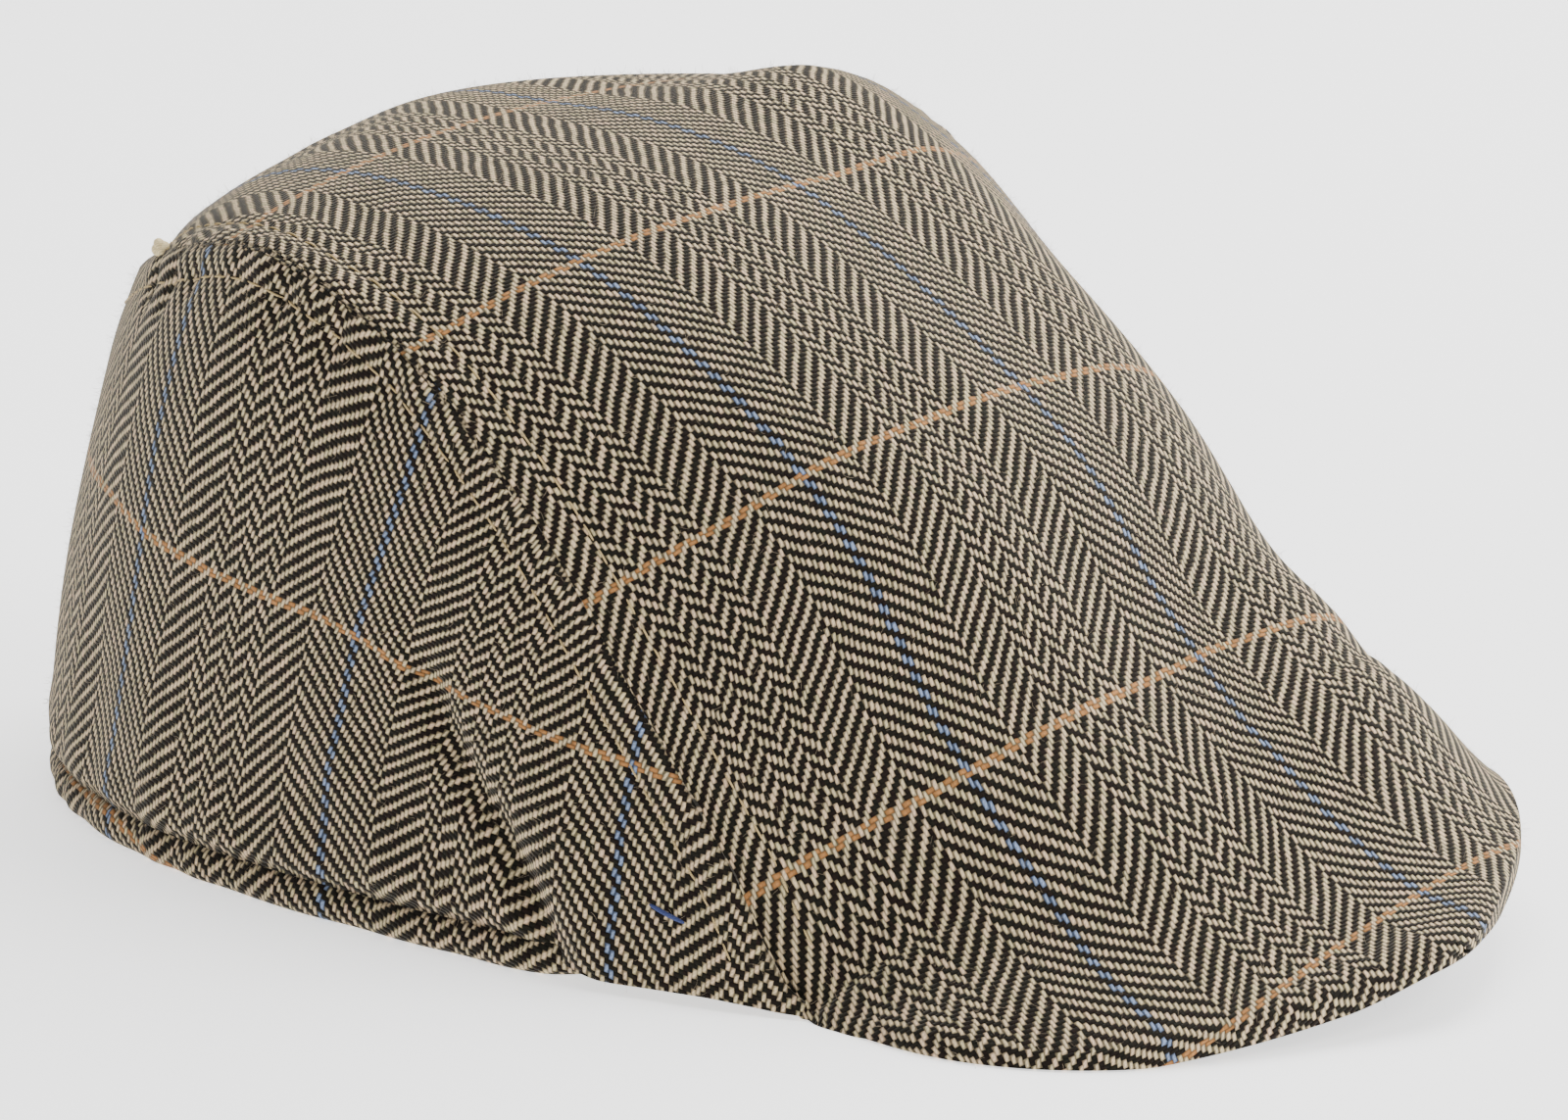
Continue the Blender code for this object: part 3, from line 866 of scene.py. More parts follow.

        # painted shade in the colour: darker between the rounded yarns and in the grooves, and uneven with the
        # fuzz
        hairs = nodes.noise(nodes.vector(u, v), self.hair_scale, 3.0)
        painted_shade = nodes.expr(nodes.add("ShaderNodeAttribute", {"attribute_name": PAINTED_SHADE}).outputs["Fac"])
        light = (height * 0.85 + 0.15) * (hairs * 0.8 + 0.6) * (nodes.expr(luck.outputs[0]) * 0.3 + 0.85)
        light = light * (1 - painted_shade * self.groove_shade)
        nodes.feed(nodes.shader, {
            "Base Color": nodes.shaded(colour, light),
            "Roughness": 0.92,
            "Specular IOR Level": 0.1,
            "Sheen Weight": 0.22,
            "Sheen Roughness": 0.4,
            "Sheen Tint": (0.95, 0.9, 0.8, 1),
            "Normal": nodes.relief(height + hairs * 0.5, 0.7, self.nap),
        })
        return nodes.material


@dataclass(frozen=True)
class PlainCloth:
    """Plain dark undercloth of the peak, with a fine even weave."""

    colour: Colour = srgb(58, 58, 62)
    thread: float = 0.45
    nap: float = 0.12 * MM

    def material(self, name: str) -> bpy.types.Material:
        """The cloth as a material.

        Args:
            name: the material's name.

        Returns:
            The material.
        """
        nodes = NodeMaker(name)
        u, v = nodes.cloth_place()
        rate = math.pi / self.thread
        weave = ((u * rate).sine() * (v * rate).sine() + 1) * 0.5
        mottle = nodes.noise(nodes.vector(u, v), 0.6, 3.0)
        light = (weave * 0.3 + 0.7) * (mottle * 0.5 + 0.75)
        nodes.feed(nodes.shader, {
            "Base Color": nodes.shaded(self.colour, light),
            "Roughness": 0.9,
            "Specular IOR Level": 0.2,
            "Normal": nodes.relief(weave, 0.5, self.nap),
        })
        return nodes.material


@dataclass(frozen=True)
class Thread:
    """Spun sewing thread."""

    colour: Colour = srgb(196, 170, 118)
    pitch: float = 0.5 * MM
    nap: float = 0.05 * MM

    def material(self, name: str) -> bpy.types.Material:
        """The thread as a material, with its twist.

        Args:
            name: the material's name.

        Returns:
            The material.
        """
        nodes = NodeMaker(name)
        place = nodes.add("ShaderNodeTexCoord").outputs["Object"]
        parts = nodes.add("ShaderNodeSeparateXYZ", inputs={0: place})
        x, y, z = (nodes.expr(parts.outputs[i]) for i in range(3))
        twist = ((x + y + z) * (2 * math.pi / self.pitch)).sine() * 0.5 + 0.5
        nodes.feed(nodes.shader, {
            "Base Color": nodes.shaded(self.colour, twist * 0.35 + 0.7),
            "Roughness": 0.7,
            "Normal": nodes.relief(twist, 0.4, self.nap),
        })
        return nodes.material


@dataclass
class Finishes:
    """All the materials of the cap."""

    tweed: bpy.types.Material
    undercloth: bpy.types.Material
    thread: bpy.types.Material
    loose_thread: bpy.types.Material
    fibre: bpy.types.Material
    blue: bpy.types.Material

    @classmethod
    def make(cls) -> "Finishes":
        """Build each material once.

        Returns:
            All of them.
        """
        return cls(
            tweed=Tweed().material("herringbone_tweed"),
            undercloth=PlainCloth().material("peak_undercloth"),
            thread=Thread().material("topstitch_thread"),
            loose_thread=Thread(colour=srgb(238, 217, 164)).material("knotted_thread"),
            fibre=Thread(colour=srgb(176, 158, 132), pitch=4 * MM).material("wool_fibre"),
            blue=Thread(colour=srgb(46, 60, 112)).material("blue_yarn"),
        )


def deselect_all() -> None:
    """Leave edit mode and select nothing."""
    if bpy.context.object and bpy.context.object.mode != "OBJECT":
        bpy.ops.object.mode_set(mode="OBJECT")
    bpy.ops.object.select_all(action="DESELECT")


def facing(mesh: bpy.types.Mesh) -> Vector:
    """The way that the faces of an open sheet point on the whole."""
    return sum((face.normal * face.area for face in mesh.polygons), Vector((0, 0, 0)))


def cloth_sheet(
    name: str,
    points: np.ndarray,
    cloth: np.ndarray,
    material: bpy.types.Material,
    wall: float,
    painted_shade: np.ndarray | None = None,
) -> bpy.types.Object:
    """A sheet of cloth with a wall, made from a flat grid that is laid over a grid of points.

    Args:
        name: the piece's name.
        points: rows and columns of points of its outer face, in metres, with faces outward.
        cloth: the same rows and columns of places on the cloth, in millimetres.
        material: the cloth.
        wall: its thickness in metres.
        painted_shade: how deep in a groove each point lies, from 0 to 1, by which the material darkens the
            cloth as painted shade, or None.

    Returns:
        The finished piece.
    """
    rows, columns = points.shape[:2]
    deselect_all()
    bpy.ops.mesh.primitive_grid_add(
        x_subdivisions=rows - 1, y_subdivisions=columns - 1, size=2, calc_uvs=True
    )
    piece = bpy.context.object
    piece.name = name
    piece.data.name = name
    mesh = piece.data
    flat = np.empty(len(mesh.vertices) * 3)
    mesh.vertices.foreach_get("co", flat)
    flat = flat.reshape(-1, 3)
    i = np.rint((flat[:, 0] + 1) / 2 * (rows - 1)).astype(int)
    j = np.rint((flat[:, 1] + 1) / 2 * (columns - 1)).astype(int)
    mesh.vertices.foreach_set("co", points[i, j].ravel())
    corners = np.empty(len(mesh.loops), dtype=int)
    mesh.loops.foreach_get("vertex_index", corners)
    mesh.uv_layers[0].name = CLOTH_UV
    mesh.uv_layers[0].data.foreach_set("uv", cloth[i, j][corners].ravel())
    # painted shade in the grooves, kept on the points for the material
    depth = np.zeros((rows, columns)) if painted_shade is None else painted_shade
    mesh.attributes.new(PAINTED_SHADE, "FLOAT", "POINT").data.foreach_set("value", depth[i, j])
    mesh.update()
    outward = facing(mesh)
    bpy.ops.object.mode_set(mode="EDIT")
    bpy.ops.mesh.select_all(action="SELECT")
    bpy.ops.mesh.remove_doubles(threshold=WELD_DISTANCE)
    bpy.ops.mesh.normals_make_consistent(inside=False)
    bpy.ops.object.mode_set(mode="OBJECT")
    if facing(mesh).dot(outward) < 0:
        mesh.flip_normals()
    solid = piece.modifiers.new("wall", "SOLIDIFY")
    solid.thickness = wall
    solid.offset = -1
    bpy.ops.object.modifier_apply(modifier=solid.name)
    keep_above_floor(piece)
    bpy.ops.object.shade_smooth_by_angle(angle=SMOOTH_ANGLE)
    mesh.materials.clear()
    mesh.materials.append(material)
    return piece


def keep_above_floor(piece: bpy.types.Object) -> None:
    """Raise the points of a piece that would lie in the floor.

    Args:
        piece: the piece, at the origin.
    """
    mesh = piece.data
    flat = np.empty(len(mesh.vertices) * 3)
    mesh.vertices.foreach_get("co", flat)
    flat[2::3] = np.maximum(flat[2::3], FLOOR_CLEARANCE)
    mesh.vertices.foreach_set("co", flat)
    mesh.update()


def one_stitch(
    name: str,
    length: float,
    radius: float,
    dip: float,
    sides: int = 7,
    cuts: tuple[float, ...] = (-0.42, -0.2, 0.0, 0.2, 0.42),
) -> bpy.types.Object:
    """A stitch along X whose ends sink, as a small rounded rod.

    Args:
        name: the pattern's name.
        length: its length.
        radius: half its thickness in the middle.
        dip: how far its ends sink.
        sides: how many sides the rod has.
        cuts: where it is divided, as shares of its length from the middle.

    Returns:
        The pattern piece.
    """
    deselect_all()
    bpy.ops.mesh.primitive_cylinder_add(
        vertices=sides, radius=radius, depth=length, end_fill_type="TRIFAN", rotation=(0, math.pi / 2, 0)
    )
    piece = bpy.context.object
    piece.name = name
    bpy.ops.object.transform_apply(location=True, rotation=True, scale=True)
    bpy.ops.object.mode_set(mode="EDIT")
    for place in cuts:
        bpy.ops.mesh.select_all(action="SELECT")
        bpy.ops.mesh.bisect(plane_co=(place * length, 0, 0), plane_no=(1, 0, 0))
    bpy.ops.object.mode_set(mode="OBJECT")
    for vertex in piece.data.vertices:
        share = abs(vertex.co.x) / (length / 2)
        vertex.co.y *= 1 - 0.5 * share**4
        vertex.co.z *= 1 - 0.5 * share**4
        vertex.co.z -= dip * share**2
    return piece


def copies_of(
    pattern: bpy.types.Object,
    name: str,
    places: np.ndarray,
    turns: np.ndarray,
    material: bpy.types.Material,
) -> bpy.types.Object:
    """Copies of a small pattern piece as one mesh, after which the pattern is removed.

    Args:
        pattern: the piece to copy, at the origin.
        name: the new piece's name.
        places: a point for each copy.
        turns: a 3 by 3 matrix for each copy, whose columns are its own axes.
        material: the new piece's material.

    Returns:
        The joined piece.
    """
    base = np.array([vertex.co[:] for vertex in pattern.data.vertices])
    faces = [list(polygon.vertices) for polygon in pattern.data.polygons]
    bpy.data.objects.remove(pattern)
    vertices = (np.einsum("nij,vj->nvi", turns, base) + places[:, None]).reshape(-1, 3)
    starts = range(0, len(vertices), len(base))
    polygons = [[index + start for index in face] for start in starts for face in faces]
    mesh = bpy.data.meshes.new(name)
    mesh.from_pydata(vertices.tolist(), [], polygons)
    mesh.materials.append(material)
    mesh.shade_smooth()
    piece = bpy.data.objects.new(name, mesh)
    bpy.context.scene.collection.objects.link(piece)
    keep_above_floor(piece)
    return piece


@dataclass
class StitchLine:
    """A line of topstitching that lies on a panel."""

    name: str
    line: np.ndarray
    normals: np.ndarray
    length: float = 3.5 * MM
    gap: float = 1.0 * MM
    radius: float = 0.17 * MM
    dip: float = 0.35 * MM
    lift: float = 0.12 * MM

    def build(self, material: bpy.types.Material) -> bpy.types.Object:
        """Lay the stitches end to end along the line.

        Args:
            material: the thread.

        Returns:
            All the stitches as one piece.
        """
        steps = lengths_of(self.line)
        pitch = self.length + self.gap
        count = int((steps[-1] - self.length) / pitch)
        middles = self.length / 2 + pitch * np.arange(count)

        def at(places: np.ndarray, rows: np.ndarray) -> np.ndarray:
            """Rows read at lengths along the line."""
            return np.stack([np.interp(places, steps, rows[:, axis]) for axis in range(3)], axis=-1)

        ahead = at(middles + self.length / 2, self.line) - at(middles - self.length / 2, self.line)
        ahead /= np.linalg.norm(ahead, axis=1, keepdims=True)
        up = at(middles, self.normals)
        up -= ahead * (up * ahead).sum(axis=1, keepdims=True)
        up /= np.linalg.norm(up, axis=1, keepdims=True)
        turns = np.stack([ahead, np.cross(up, ahead), up], axis=-1)
        pattern = one_stitch("stitch", self.length, self.radius, self.dip)
        return copies_of(pattern, self.name, at(middles, self.line) + up * self.lift, turns, material)


@dataclass(frozen=True)
class SeamRelief:
    """How the cloth rolls into a seam, stands up beside it and dips under the topstitching."""

    roll: float = 0.9 * MM
    roll_width: float = 1.2 * MM
    stand: float = 0.6 * MM
    stitch_at: float = 6.5 * MM
    dip: float = 0.4 * MM
    dip_width: float = 1.2 * MM
    pucker_pitch: float = 9.3 * MM
    # width of the painted shade in the seam's groove
    groove: float = 0.7 * MM

    def offset(self, away: np.ndarray, along: np.ndarray) -> np.ndarray:
        """Offset outward from the base surface.

        Args:
            away: distance of each point from the seam.
            along: distance of each point along the panel, for the small puckers.

        Returns:
            Metres outward.
        """
        pucker = puckers(along, self.pucker_pitch, 1.5, 75)
        rolled = -self.roll * bell(away, self.roll_width)
        standing = self.stand * pucker * bell(away - self.stitch_at / 2, 0.4 * self.stitch_at)
        dipped = -self.dip * bell(away - self.stitch_at, self.dip_width)
        return rolled + standing + dipped

    def painted_shade(self, away: np.ndarray) -> np.ndarray:
        """How deep in the seam's groove each point lies, from 0 to 1, which the material turns into painted
        shade.
        """
        return bell(away, self.groove)


@dataclass(frozen=True)
class HemRelief:
    """How a side panel rolls in over the hem band and stands out above it, as far as the band shows."""

    roll: float = 1.5 * MM
    roll_width: float = 1.5 * MM
    stand: float = 0.65 * MM
    stand_at: float = 6 * MM
    stand_width: float = 4.5 * MM
    pucker_pitch: float = 17 * MM
    # width of the painted shade in the groove over the hem band
    groove: float = 1.1 * MM
    run: tuple[float, float] = (0.80, 0.87)

    def inward(self, above: np.ndarray, around: np.ndarray, along: np.ndarray) -> np.ndarray:
        """Offset inward from the base surface.

        Args:
            above: distance of each point above the panel's lower edge.
            around: distance of each point round the panel.
            along: the rows' places.

        Returns:
            Metres inward.
        """
        rolled = self.roll * bell(above, self.roll_width)
        pucker = puckers(around, self.pucker_pitch, 2, 41)
        standing = self.stand * pucker * bell(above - self.stand_at, self.stand_width)
        return (rolled - standing) * (1 - ramp(along, *self.run))[:, None]

    def painted_shade(self, above: np.ndarray, along: np.ndarray) -> np.ndarray:
        """How deep in the groove over the band each point lies, from 0 to 1, which the material turns into
        painted shade.
        """
        return bell(above, self.groove) * (1 - ramp(along, *self.run))[:, None]


@dataclass(frozen=True)
class SeamEnds:
    """How a seam's relief flattens round the back, where the edge is rounded in, and toward the front."""

    rear_run: tuple[float, float] = (0.16, 0.36)
    front_run: tuple[float, float] = (0.8, 0.97)
    rear_ease: float = 0.7
    front_ease: float = 0.7
    rear_round: float = 2.0 * MM
    rear_reach: float = 9 * MM

    def eased(self, offset: np.ndarray, away: np.ndarray, along: np.ndarray) -> np.ndarray:
        """A seam's offset, eased at both ends.

        Args:
            offset: metres outward.
            away: distance of each point from the seam.
            along: the rows' places.

        Returns:
            Metres outward.
        """
        rear = (1 - ramp(along, *self.rear_run))[:, None]
        front = 1 - self.front_ease * ramp(along, *self.front_run)[:, None]
        eased = offset * front * (1 - self.rear_ease * rear)
        return eased - self.rear_round * rear * bell(away, self.rear_reach)


def cell_areas(points: np.ndarray) -> np.ndarray:
    """Area in square metres of each cell of a grid of points."""
    aside, ahead = points[1:, :-1] - points[:-1, :-1], points[:-1, 1:] - points[:-1, :-1]
    return np.linalg.norm(np.cross(aside, ahead), axis=2)


def cloth_area(points: np.ndarray) -> float:
    """Area of a grid of points in square metres."""
    return float(cell_areas(points).sum())


def stitch_line(
    name: str, points: np.ndarray, normals: np.ndarray, away: np.ndarray, reach: float, rows: range
) -> StitchLine:
    """A line of topstitching that keeps its distance from the seam at the first columns of a grid.

    Args:
        name: the line's name.
        points: the cloth's grid, with the seam at its first column.
        normals: outward normals of the grid.
        away: distance of each point from the seam.
        reach: the line's distance from the seam.
        rows: the rows that it passes through.

    Returns:
        The line.
    """
    line, upward = [], []
    for row in rows:
        near = away[row, :SEAM_COLUMNS]
        if near.max() < reach:
            continue
        stop = int(np.argmax(near > reach)) + 1
        line.append([np.interp(reach, near[:stop], points[row, :stop, axis]) for axis in range(3)])
        upward.append([np.interp(reach, near[:stop], normals[row, :stop, axis]) for axis in range(3)])
    return StitchLine(name, np.array(line), np.array(upward))


def trimmed(piece: bpy.types.Object) -> bpy.types.Object:
    """Put a tweed piece or a thread on the cap.

    Args:
        piece: the piece.

    Returns:
        The same piece.
    """
    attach(piece, "root")
    return piece


@dataclass(frozen=True)
class TopCloth:
    """Where the top panel's threads run: with the rows on the crown, flat over the tip, out over the lip.

    The warp lines' places are lengths across from the middle, one row for each line and one column for each
    length along the crest. The tan lines' places are such lengths along, one column for each length across.
    All are in millimetres.
    """

    form: CapForm
    lengths: tuple[float, ...] = (60, 110, 150, 190, 225, 245, 263, 275, 290, 300)
    warp_lines: tuple[tuple[float, ...], ...] = (
        (-100, -99, -97.5, -97, -98.5, -99, -100, -101, -102, -102),
        (-49, -49, -47.4, -46.8, -48.2, -48.6, -49.7, -50.5, -51.8, -52),
        (-16.5, -17.5, -17.5, -17, -16.5, -17.2, -16.5, -15.7, -14.5, -13.5),
        (2, 1.2, 1.2, 0.8, 2.8, 2.8, -0.2, 1, 4.2, 6.5),
        (12, 10.5, 10.5, 11, 11.5, 9.8, 7.8, 9, 13, 15.5),
        (54, 54, 54, 55, 57, 57, 57, 58, 60, 62),
        (107, 107, 107, 108, 110, 110, 110, 111, 113, 115),
    )
    warp_places: tuple[float, ...] = (-101.6, -49, -15.2, 3.6, 13.4, 56.2, 108.8)
    widths: tuple[float, ...] = (-85, -60, -25, 5, 20, 45)
    tan_lines: tuple[tuple[float, ...], ...] = (
        (8, 22, 36, 37.5, 43, 54),
        (89, 89.7, 89.7, 89.9, 92, 99.5),
        (141, 141.3, 143, 143.5, 144, 146),
        (193, 195.5, 196.3, 196.5, 197.4, 202),
        (246.8, 248.5, 247.5, 249, 252.5, 258.5),
        (306, 305.5, 304, 302, 303, 307),
        (359, 358.5, 357, 355, 356, 360),
    )
    tan_places: tuple[float, ...] = (36.6, 89.7, 142.8, 195.9, 249, 302.1, 355.2)
    known_run: tuple[float, float] = (1.08, 1.62)
    flat_run: tuple[float, float] = (1.2, 1.6)
    lip_run: tuple[float, float] = (1.0, 1.08)
    fit_unit: float = 50 * MM

    def places(self, base: np.ndarray, along: np.ndarray, across: np.ndarray) -> np.ndarray:
        """Places on the cloth.

        Args:
            base: the panel's smooth surface, in metres.
            along: the rows' places.
            across: the columns' places.

        Returns:
            Places in millimetres, across and along.
        """
        middle = base.shape[1] // 2
        from_edge = lengths_along(base, 1)
        down = lengths_along(base[:, [middle]], 0)[:, 0] / MM
        crest = [
            np.interp(0, row[:, 0], total) if row[-1, 0] > 0 else 0 for row, total in zip(base, from_edge)
        ]
        width = (from_edge - np.array(crest)[:, None]) / MM
        length = np.repeat(down[:, None], base.shape[1], axis=1)
        cloth = np.stack([
            place_between(width, length, self.lengths, self.warp_lines, self.warp_places),
            place_between(length, width, self.widths, self.tan_lines, self.tan_places),
        ], axis=-1)
        edge = int(np.argmax(across > self.form.lip_share - 1 - 1e-6))
        inner = slice(edge, len(across) - edge)
        cloth[:, inner] = self._flat(cloth[:, inner], base[:, inner], along)
        return self._round_lip(cloth, from_edge / MM, along, edge)

    def _flat(self, cloth: np.ndarray, base: np.ndarray, along: np.ndarray) -> np.ndarray:
        """Lay the cloth flat over the peak's tip, as a smooth continuation of the threads behind it.

        Args:
            cloth: places on the cloth that follow the rows.
            base: the smooth surface inside the lip.
            along: the rows' places.

        Returns:
            Places on the cloth, which are the same behind the peak.
        """
        x, y = base[..., 0] / self.fit_unit, (base[..., 1] - base[-1, 0, 1]) / self.fit_unit
        terms = np.stack([x**0, x, y, x * x, x * y, y * y, x**3, x * x * y], axis=-1)
        behind = (along > self.known_run[0]) & (along < self.known_run[1])
        known = terms[behind].reshape(-1, terms.shape[-1]), cloth[behind].reshape(-1, 2)
        flat = terms @ np.linalg.lstsq(*known, rcond=None)[0]
        share = ramp(along, *self.flat_run)[:, None, None]
        return cloth * (1 - share) + flat * share

    def _round_lip(
        self, cloth: np.ndarray, from_edge: np.ndarray, along: np.ndarray, edge: int
    ) -> np.ndarray:
        """Lead the cloth straight out over the lip.

        Args:
            cloth: places on the cloth.
            from_edge: lengths across, in millimetres.
            along: the rows' places.
            edge: number of columns of the lip on each side.

        Returns:
            Places on the cloth, changed on the peak's lip.
        """
        turned, last = cloth.copy(), cloth.shape[1] - 1
        right, left = (-1, edge, range(edge)), (1, last - edge, range(last - edge + 1, last + 1))
        for sign, inside, beyond in (right, left):
            line = cloth[:, inside]
            ahead = np.gradient(line, axis=0)
            ahead /= np.maximum(np.linalg.norm(ahead, axis=1, keepdims=True), 1e-9)
            out = np.stack([ahead[:, 1], -ahead[:, 0]], axis=-1) * sign
            for column in beyond:
                turned[:, column] = line + out * np.abs(from_edge[:, column] - from_edge[:, inside])[:, None]
        share = ramp(along, *self.lip_run)[:, None, None]
        return cloth * (1 - share) + turned * share


@dataclass
class TopPanel:
    """One length of cloth from the centre back over the crown and down over the peak."""

    form: CapForm
    finishes: Finishes
    relief: SeamRelief = SeamRelief()
    ends: SeamEnds = SeamEnds()
    wall: float = 1.4 * MM
    crown_rows: int = 190
    peak_rows: int = 80
    inner_columns: int = 66
    inner_half: float = 0.87
    edge_columns: tuple[float, ...] = (
        0, 0.002, 0.005, 0.009, 0.014, 0.019, 0.025, 0.032, 0.04, 0.05, 0.062, 0.075, 0.088, 0.1, 0.115
    )
    fibres: int = 3600
    wave: float = 0.5 * MM
    wave_from: float = 12 * MM
    clearance: float = 0.2 * MM
    tip_slope: float = math.radians(30)
    groove_run: tuple[float, float] = (0.98, 1.01)
    seam_run: tuple[float, float] = (0.985, 1.02)
    peak_run: tuple[float, float] = (1.0, 1.1)
    tip_run: tuple[float, float] = (1.7, 1.88)
    lip_fade: tuple[float, float] = (0.3 * MM, 8 * MM)
    folds: tuple[Fold, ...] = (
        Fold(2.4 * MM, 12 * MM, ((0.26, -0.72), (0.28, -0.28))),
        Fold(0.8 * MM, 11 * MM, ((0.36, -0.10), (0.42, 0.60))),
        Fold(1.0 * MM, 4 * MM, ((0.47, -0.92), (0.42, -0.74))),
        Fold(0.7 * MM, 7 * MM, ((0.70, -0.35), (0.86, -0.15))),
        Fold(-0.6 * MM, 8 * MM, ((0.62, -0.62), (0.85, -0.55))),
    )

    def columns(self) -> np.ndarray:
        """Places across the panel, close together near its edges."""
        near, inner = np.array(self.edge_columns), self.inner_half
        return np.concatenate([-1 + near, np.linspace(-inner, inner, self.inner_columns), 1 - near[::-1]])

    def build(self) -> list[bpy.types.Object]:
        """Build the panel, its two lines of topstitching and its fibres.

        Returns:
            The pieces.
        """
        along = np.concatenate([
            np.linspace(0, 1, self.crown_rows + 1),
            1 + np.sin(np.linspace(0, math.pi / 2, self.peak_rows + 1)[1:]),
        ])
        across = self.columns()
        base = self.form.top(along, across)
        cloth = TopCloth(self.form).places(base, along, across)
        seam = self.form.seam()
        right, left = distance_to(base, seam * (-1, 1, 1)), distance_to(base, self.form.filled(seam))
        away = np.where(across[None, :] < 0, right, left)
        points = base + self._normals(base) * self._offset(along, across, base, away, cloth)[..., None]
        points[-1, :, 0] = 0
        points[..., 2] = np.maximum(points[..., 2], self.clearance)
        # painted shade in the seams' grooves, fading out on the peak
        painted_shade = self.relief.painted_shade(away) * (1 - ramp(along, *self.groove_run))[:, None]
        panel = cloth_sheet("top_panel_cloth", points, cloth, self.finishes.tweed, self.wall, painted_shade)
        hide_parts("top_panel")
        trimmed(panel)
        area = cloth_area(points)
        LOG.info("top panel: %.0f cm2 of cloth", area * CM2_IN_M2)
        normals = self._normals(points)
        rows = range(3, self.crown_rows - 1)
        reach = self.relief.stitch_at
        lines = [
            stitch_line("topstitch_top_right", points, normals, away, reach, rows),
            stitch_line("topstitch_top_left", points[:, ::-1], normals[:, ::-1], away[:, ::-1], reach, rows),
        ]
        pieces = [panel] + [trimmed(line.build(self.finishes.thread)) for line in lines]
        fibres = Fibres("top_panel_fibres", self.fibres)
        return pieces + [fibres.build(points, normals, self.finishes.fibre)]

    def _normals(self, base: np.ndarray) -> np.ndarray:
        """Outward normals, with steady ones at the panel's two pointed ends.

        Args:
            base: a grid of points.

        Returns:
            A unit normal for each point.
        """
        normals = normals_of(base)
        normals[0] = normals[1, base.shape[1] // 2]
        normals[-1] = (0, -math.sin(self.tip_slope), math.cos(self.tip_slope))
        return normals

    def _offset(
        self, along: np.ndarray, across: np.ndarray, base: np.ndarray, away: np.ndarray, cloth: np.ndarray
    ) -> np.ndarray:
        """Offset outward at each point.

        Args:
            along: the rows' places.
            across: the columns' places.
            base: the smooth surface.
            away: distance of each point from the seam on its side.
            cloth: places on the cloth in millimetres.

        Returns:
            Metres outward.
        """
        u, v = cloth[..., 0] * MM, cloth[..., 1] * MM
        on_crown = (1 - ramp(along, *self.seam_run))[:, None]
        offset = self.ends.eased(self.relief.offset(away, v) * on_crown, away, along)
        offset = offset + ripples(u, v) * self.wave * ramp(away, 0, self.wave_from)
        for fold in self.folds:
            offset = offset - fold_depth(base, line_on(base, along, across, fold.places), fold)
        lip = self.form.rib_at(np.linspace(0.98, 2, 500))[:, :3]
        lip = self.form.twisted(np.concatenate([lip * (-1, 1, 1), lip])) * (1, 1, 0)
        inside = ramp(distance_to(base * (1, 1, 0), lip), *self.lip_fade)
        on_peak = ramp(along, *self.peak_run)[:, None]
        return offset * (1 - on_peak * (1 - inside)) * (1 - ramp(along, *self.tip_run))[:, None]


@dataclass(frozen=True)
class SideCloth:
    """Where the side panel's threads run: its blue lines lean forward, its tan line falls toward the front.

    The blue lines' places are lengths round the rim from the centre back, one row for each line and one
    column for each height, and the tan line's heights go with such lengths, all in millimetres.
    """

    form: CapForm
    heights: tuple[float, ...] = (8, 25, 50, 75, 105)
    blue_lines: tuple[tuple[float, ...], ...] = (
        (-10, -4, 4, 12, 22),
        (44, 49, 56.5, 64, 73),
        (97.5, 102, 108, 114, 121),
        (152.5, 154, 159, 167, 173),
        (210, 210, 212, 216, 222),
        (264, 264, 265, 266, 270),
    )
    first_blue: int = 2
    repeat: float = 52.6
    blue_at: float = 3.6
    tan_places: tuple[float, ...] = (0, 40, 76, 98, 111, 124, 135, 152, 161, 167, 176, 194, 218, 250)
    tan_heights: tuple[float, ...] = (66, 63, 60.6, 59.5, 55.8, 53.6, 52, 50.2, 47.8, 45, 43, 39.1, 34.9, 31)
    tan_at: float = 36.6
    eased: float = 0.94
    leaning_run: tuple[float, float] = (135, 180)

    def places(self, points: np.ndarray) -> np.ndarray:
        """Places on the cloth.

        Args:
            points: points of the left side panel, in metres, with each row running upward.

        Returns:
            Places in millimetres, across toward the front and along downward.
        """
        around, high = self.around(points), points[..., 2] / MM
        blue = self.blue_at + (np.arange(len(self.blue_lines)) - self.first_blue) * self.repeat
        across = place_between(around, high, self.heights, self.blue_lines, blue)
        climb = lengths_along(points, 1) / MM
        level = np.interp(around, self.tan_places, self.tan_heights)
        line = np.array([np.interp(*row) for row in zip(level, high, climb)])
        line = line + np.maximum(level - high[:, -1:], 0) - np.maximum(high[:, :1] - level, 0)
        share = ramp(around, *self.leaning_run)
        down = (level - high) * (1 - share) + (line - climb) * share
        return np.stack([across, down * self.eased + self.tan_at], axis=-1)

    def around(self, points: np.ndarray) -> np.ndarray:
        """Length round the rim from the centre back to the place nearest to each point.

        Args:
            points: a grid of points.

        Returns:
            A length in millimetres for each point.
        """
        rim = self.form.rim(np.linspace(0, 1, 600))
        arc = lengths_of(rim) / MM
        rim, flat = rim[:, :2], points[..., :2].reshape(-1, 2)
        steps = np.diff(rim, axis=0)
        nearest, _ = nearest_on(flat, rim)
        step = steps[np.minimum(nearest, len(steps) - 1)]
        past = ((flat - rim[nearest]) * step).sum(axis=1) / np.linalg.norm(step, axis=1)
        return (arc[nearest] + past / MM).reshape(points.shape[:-1])


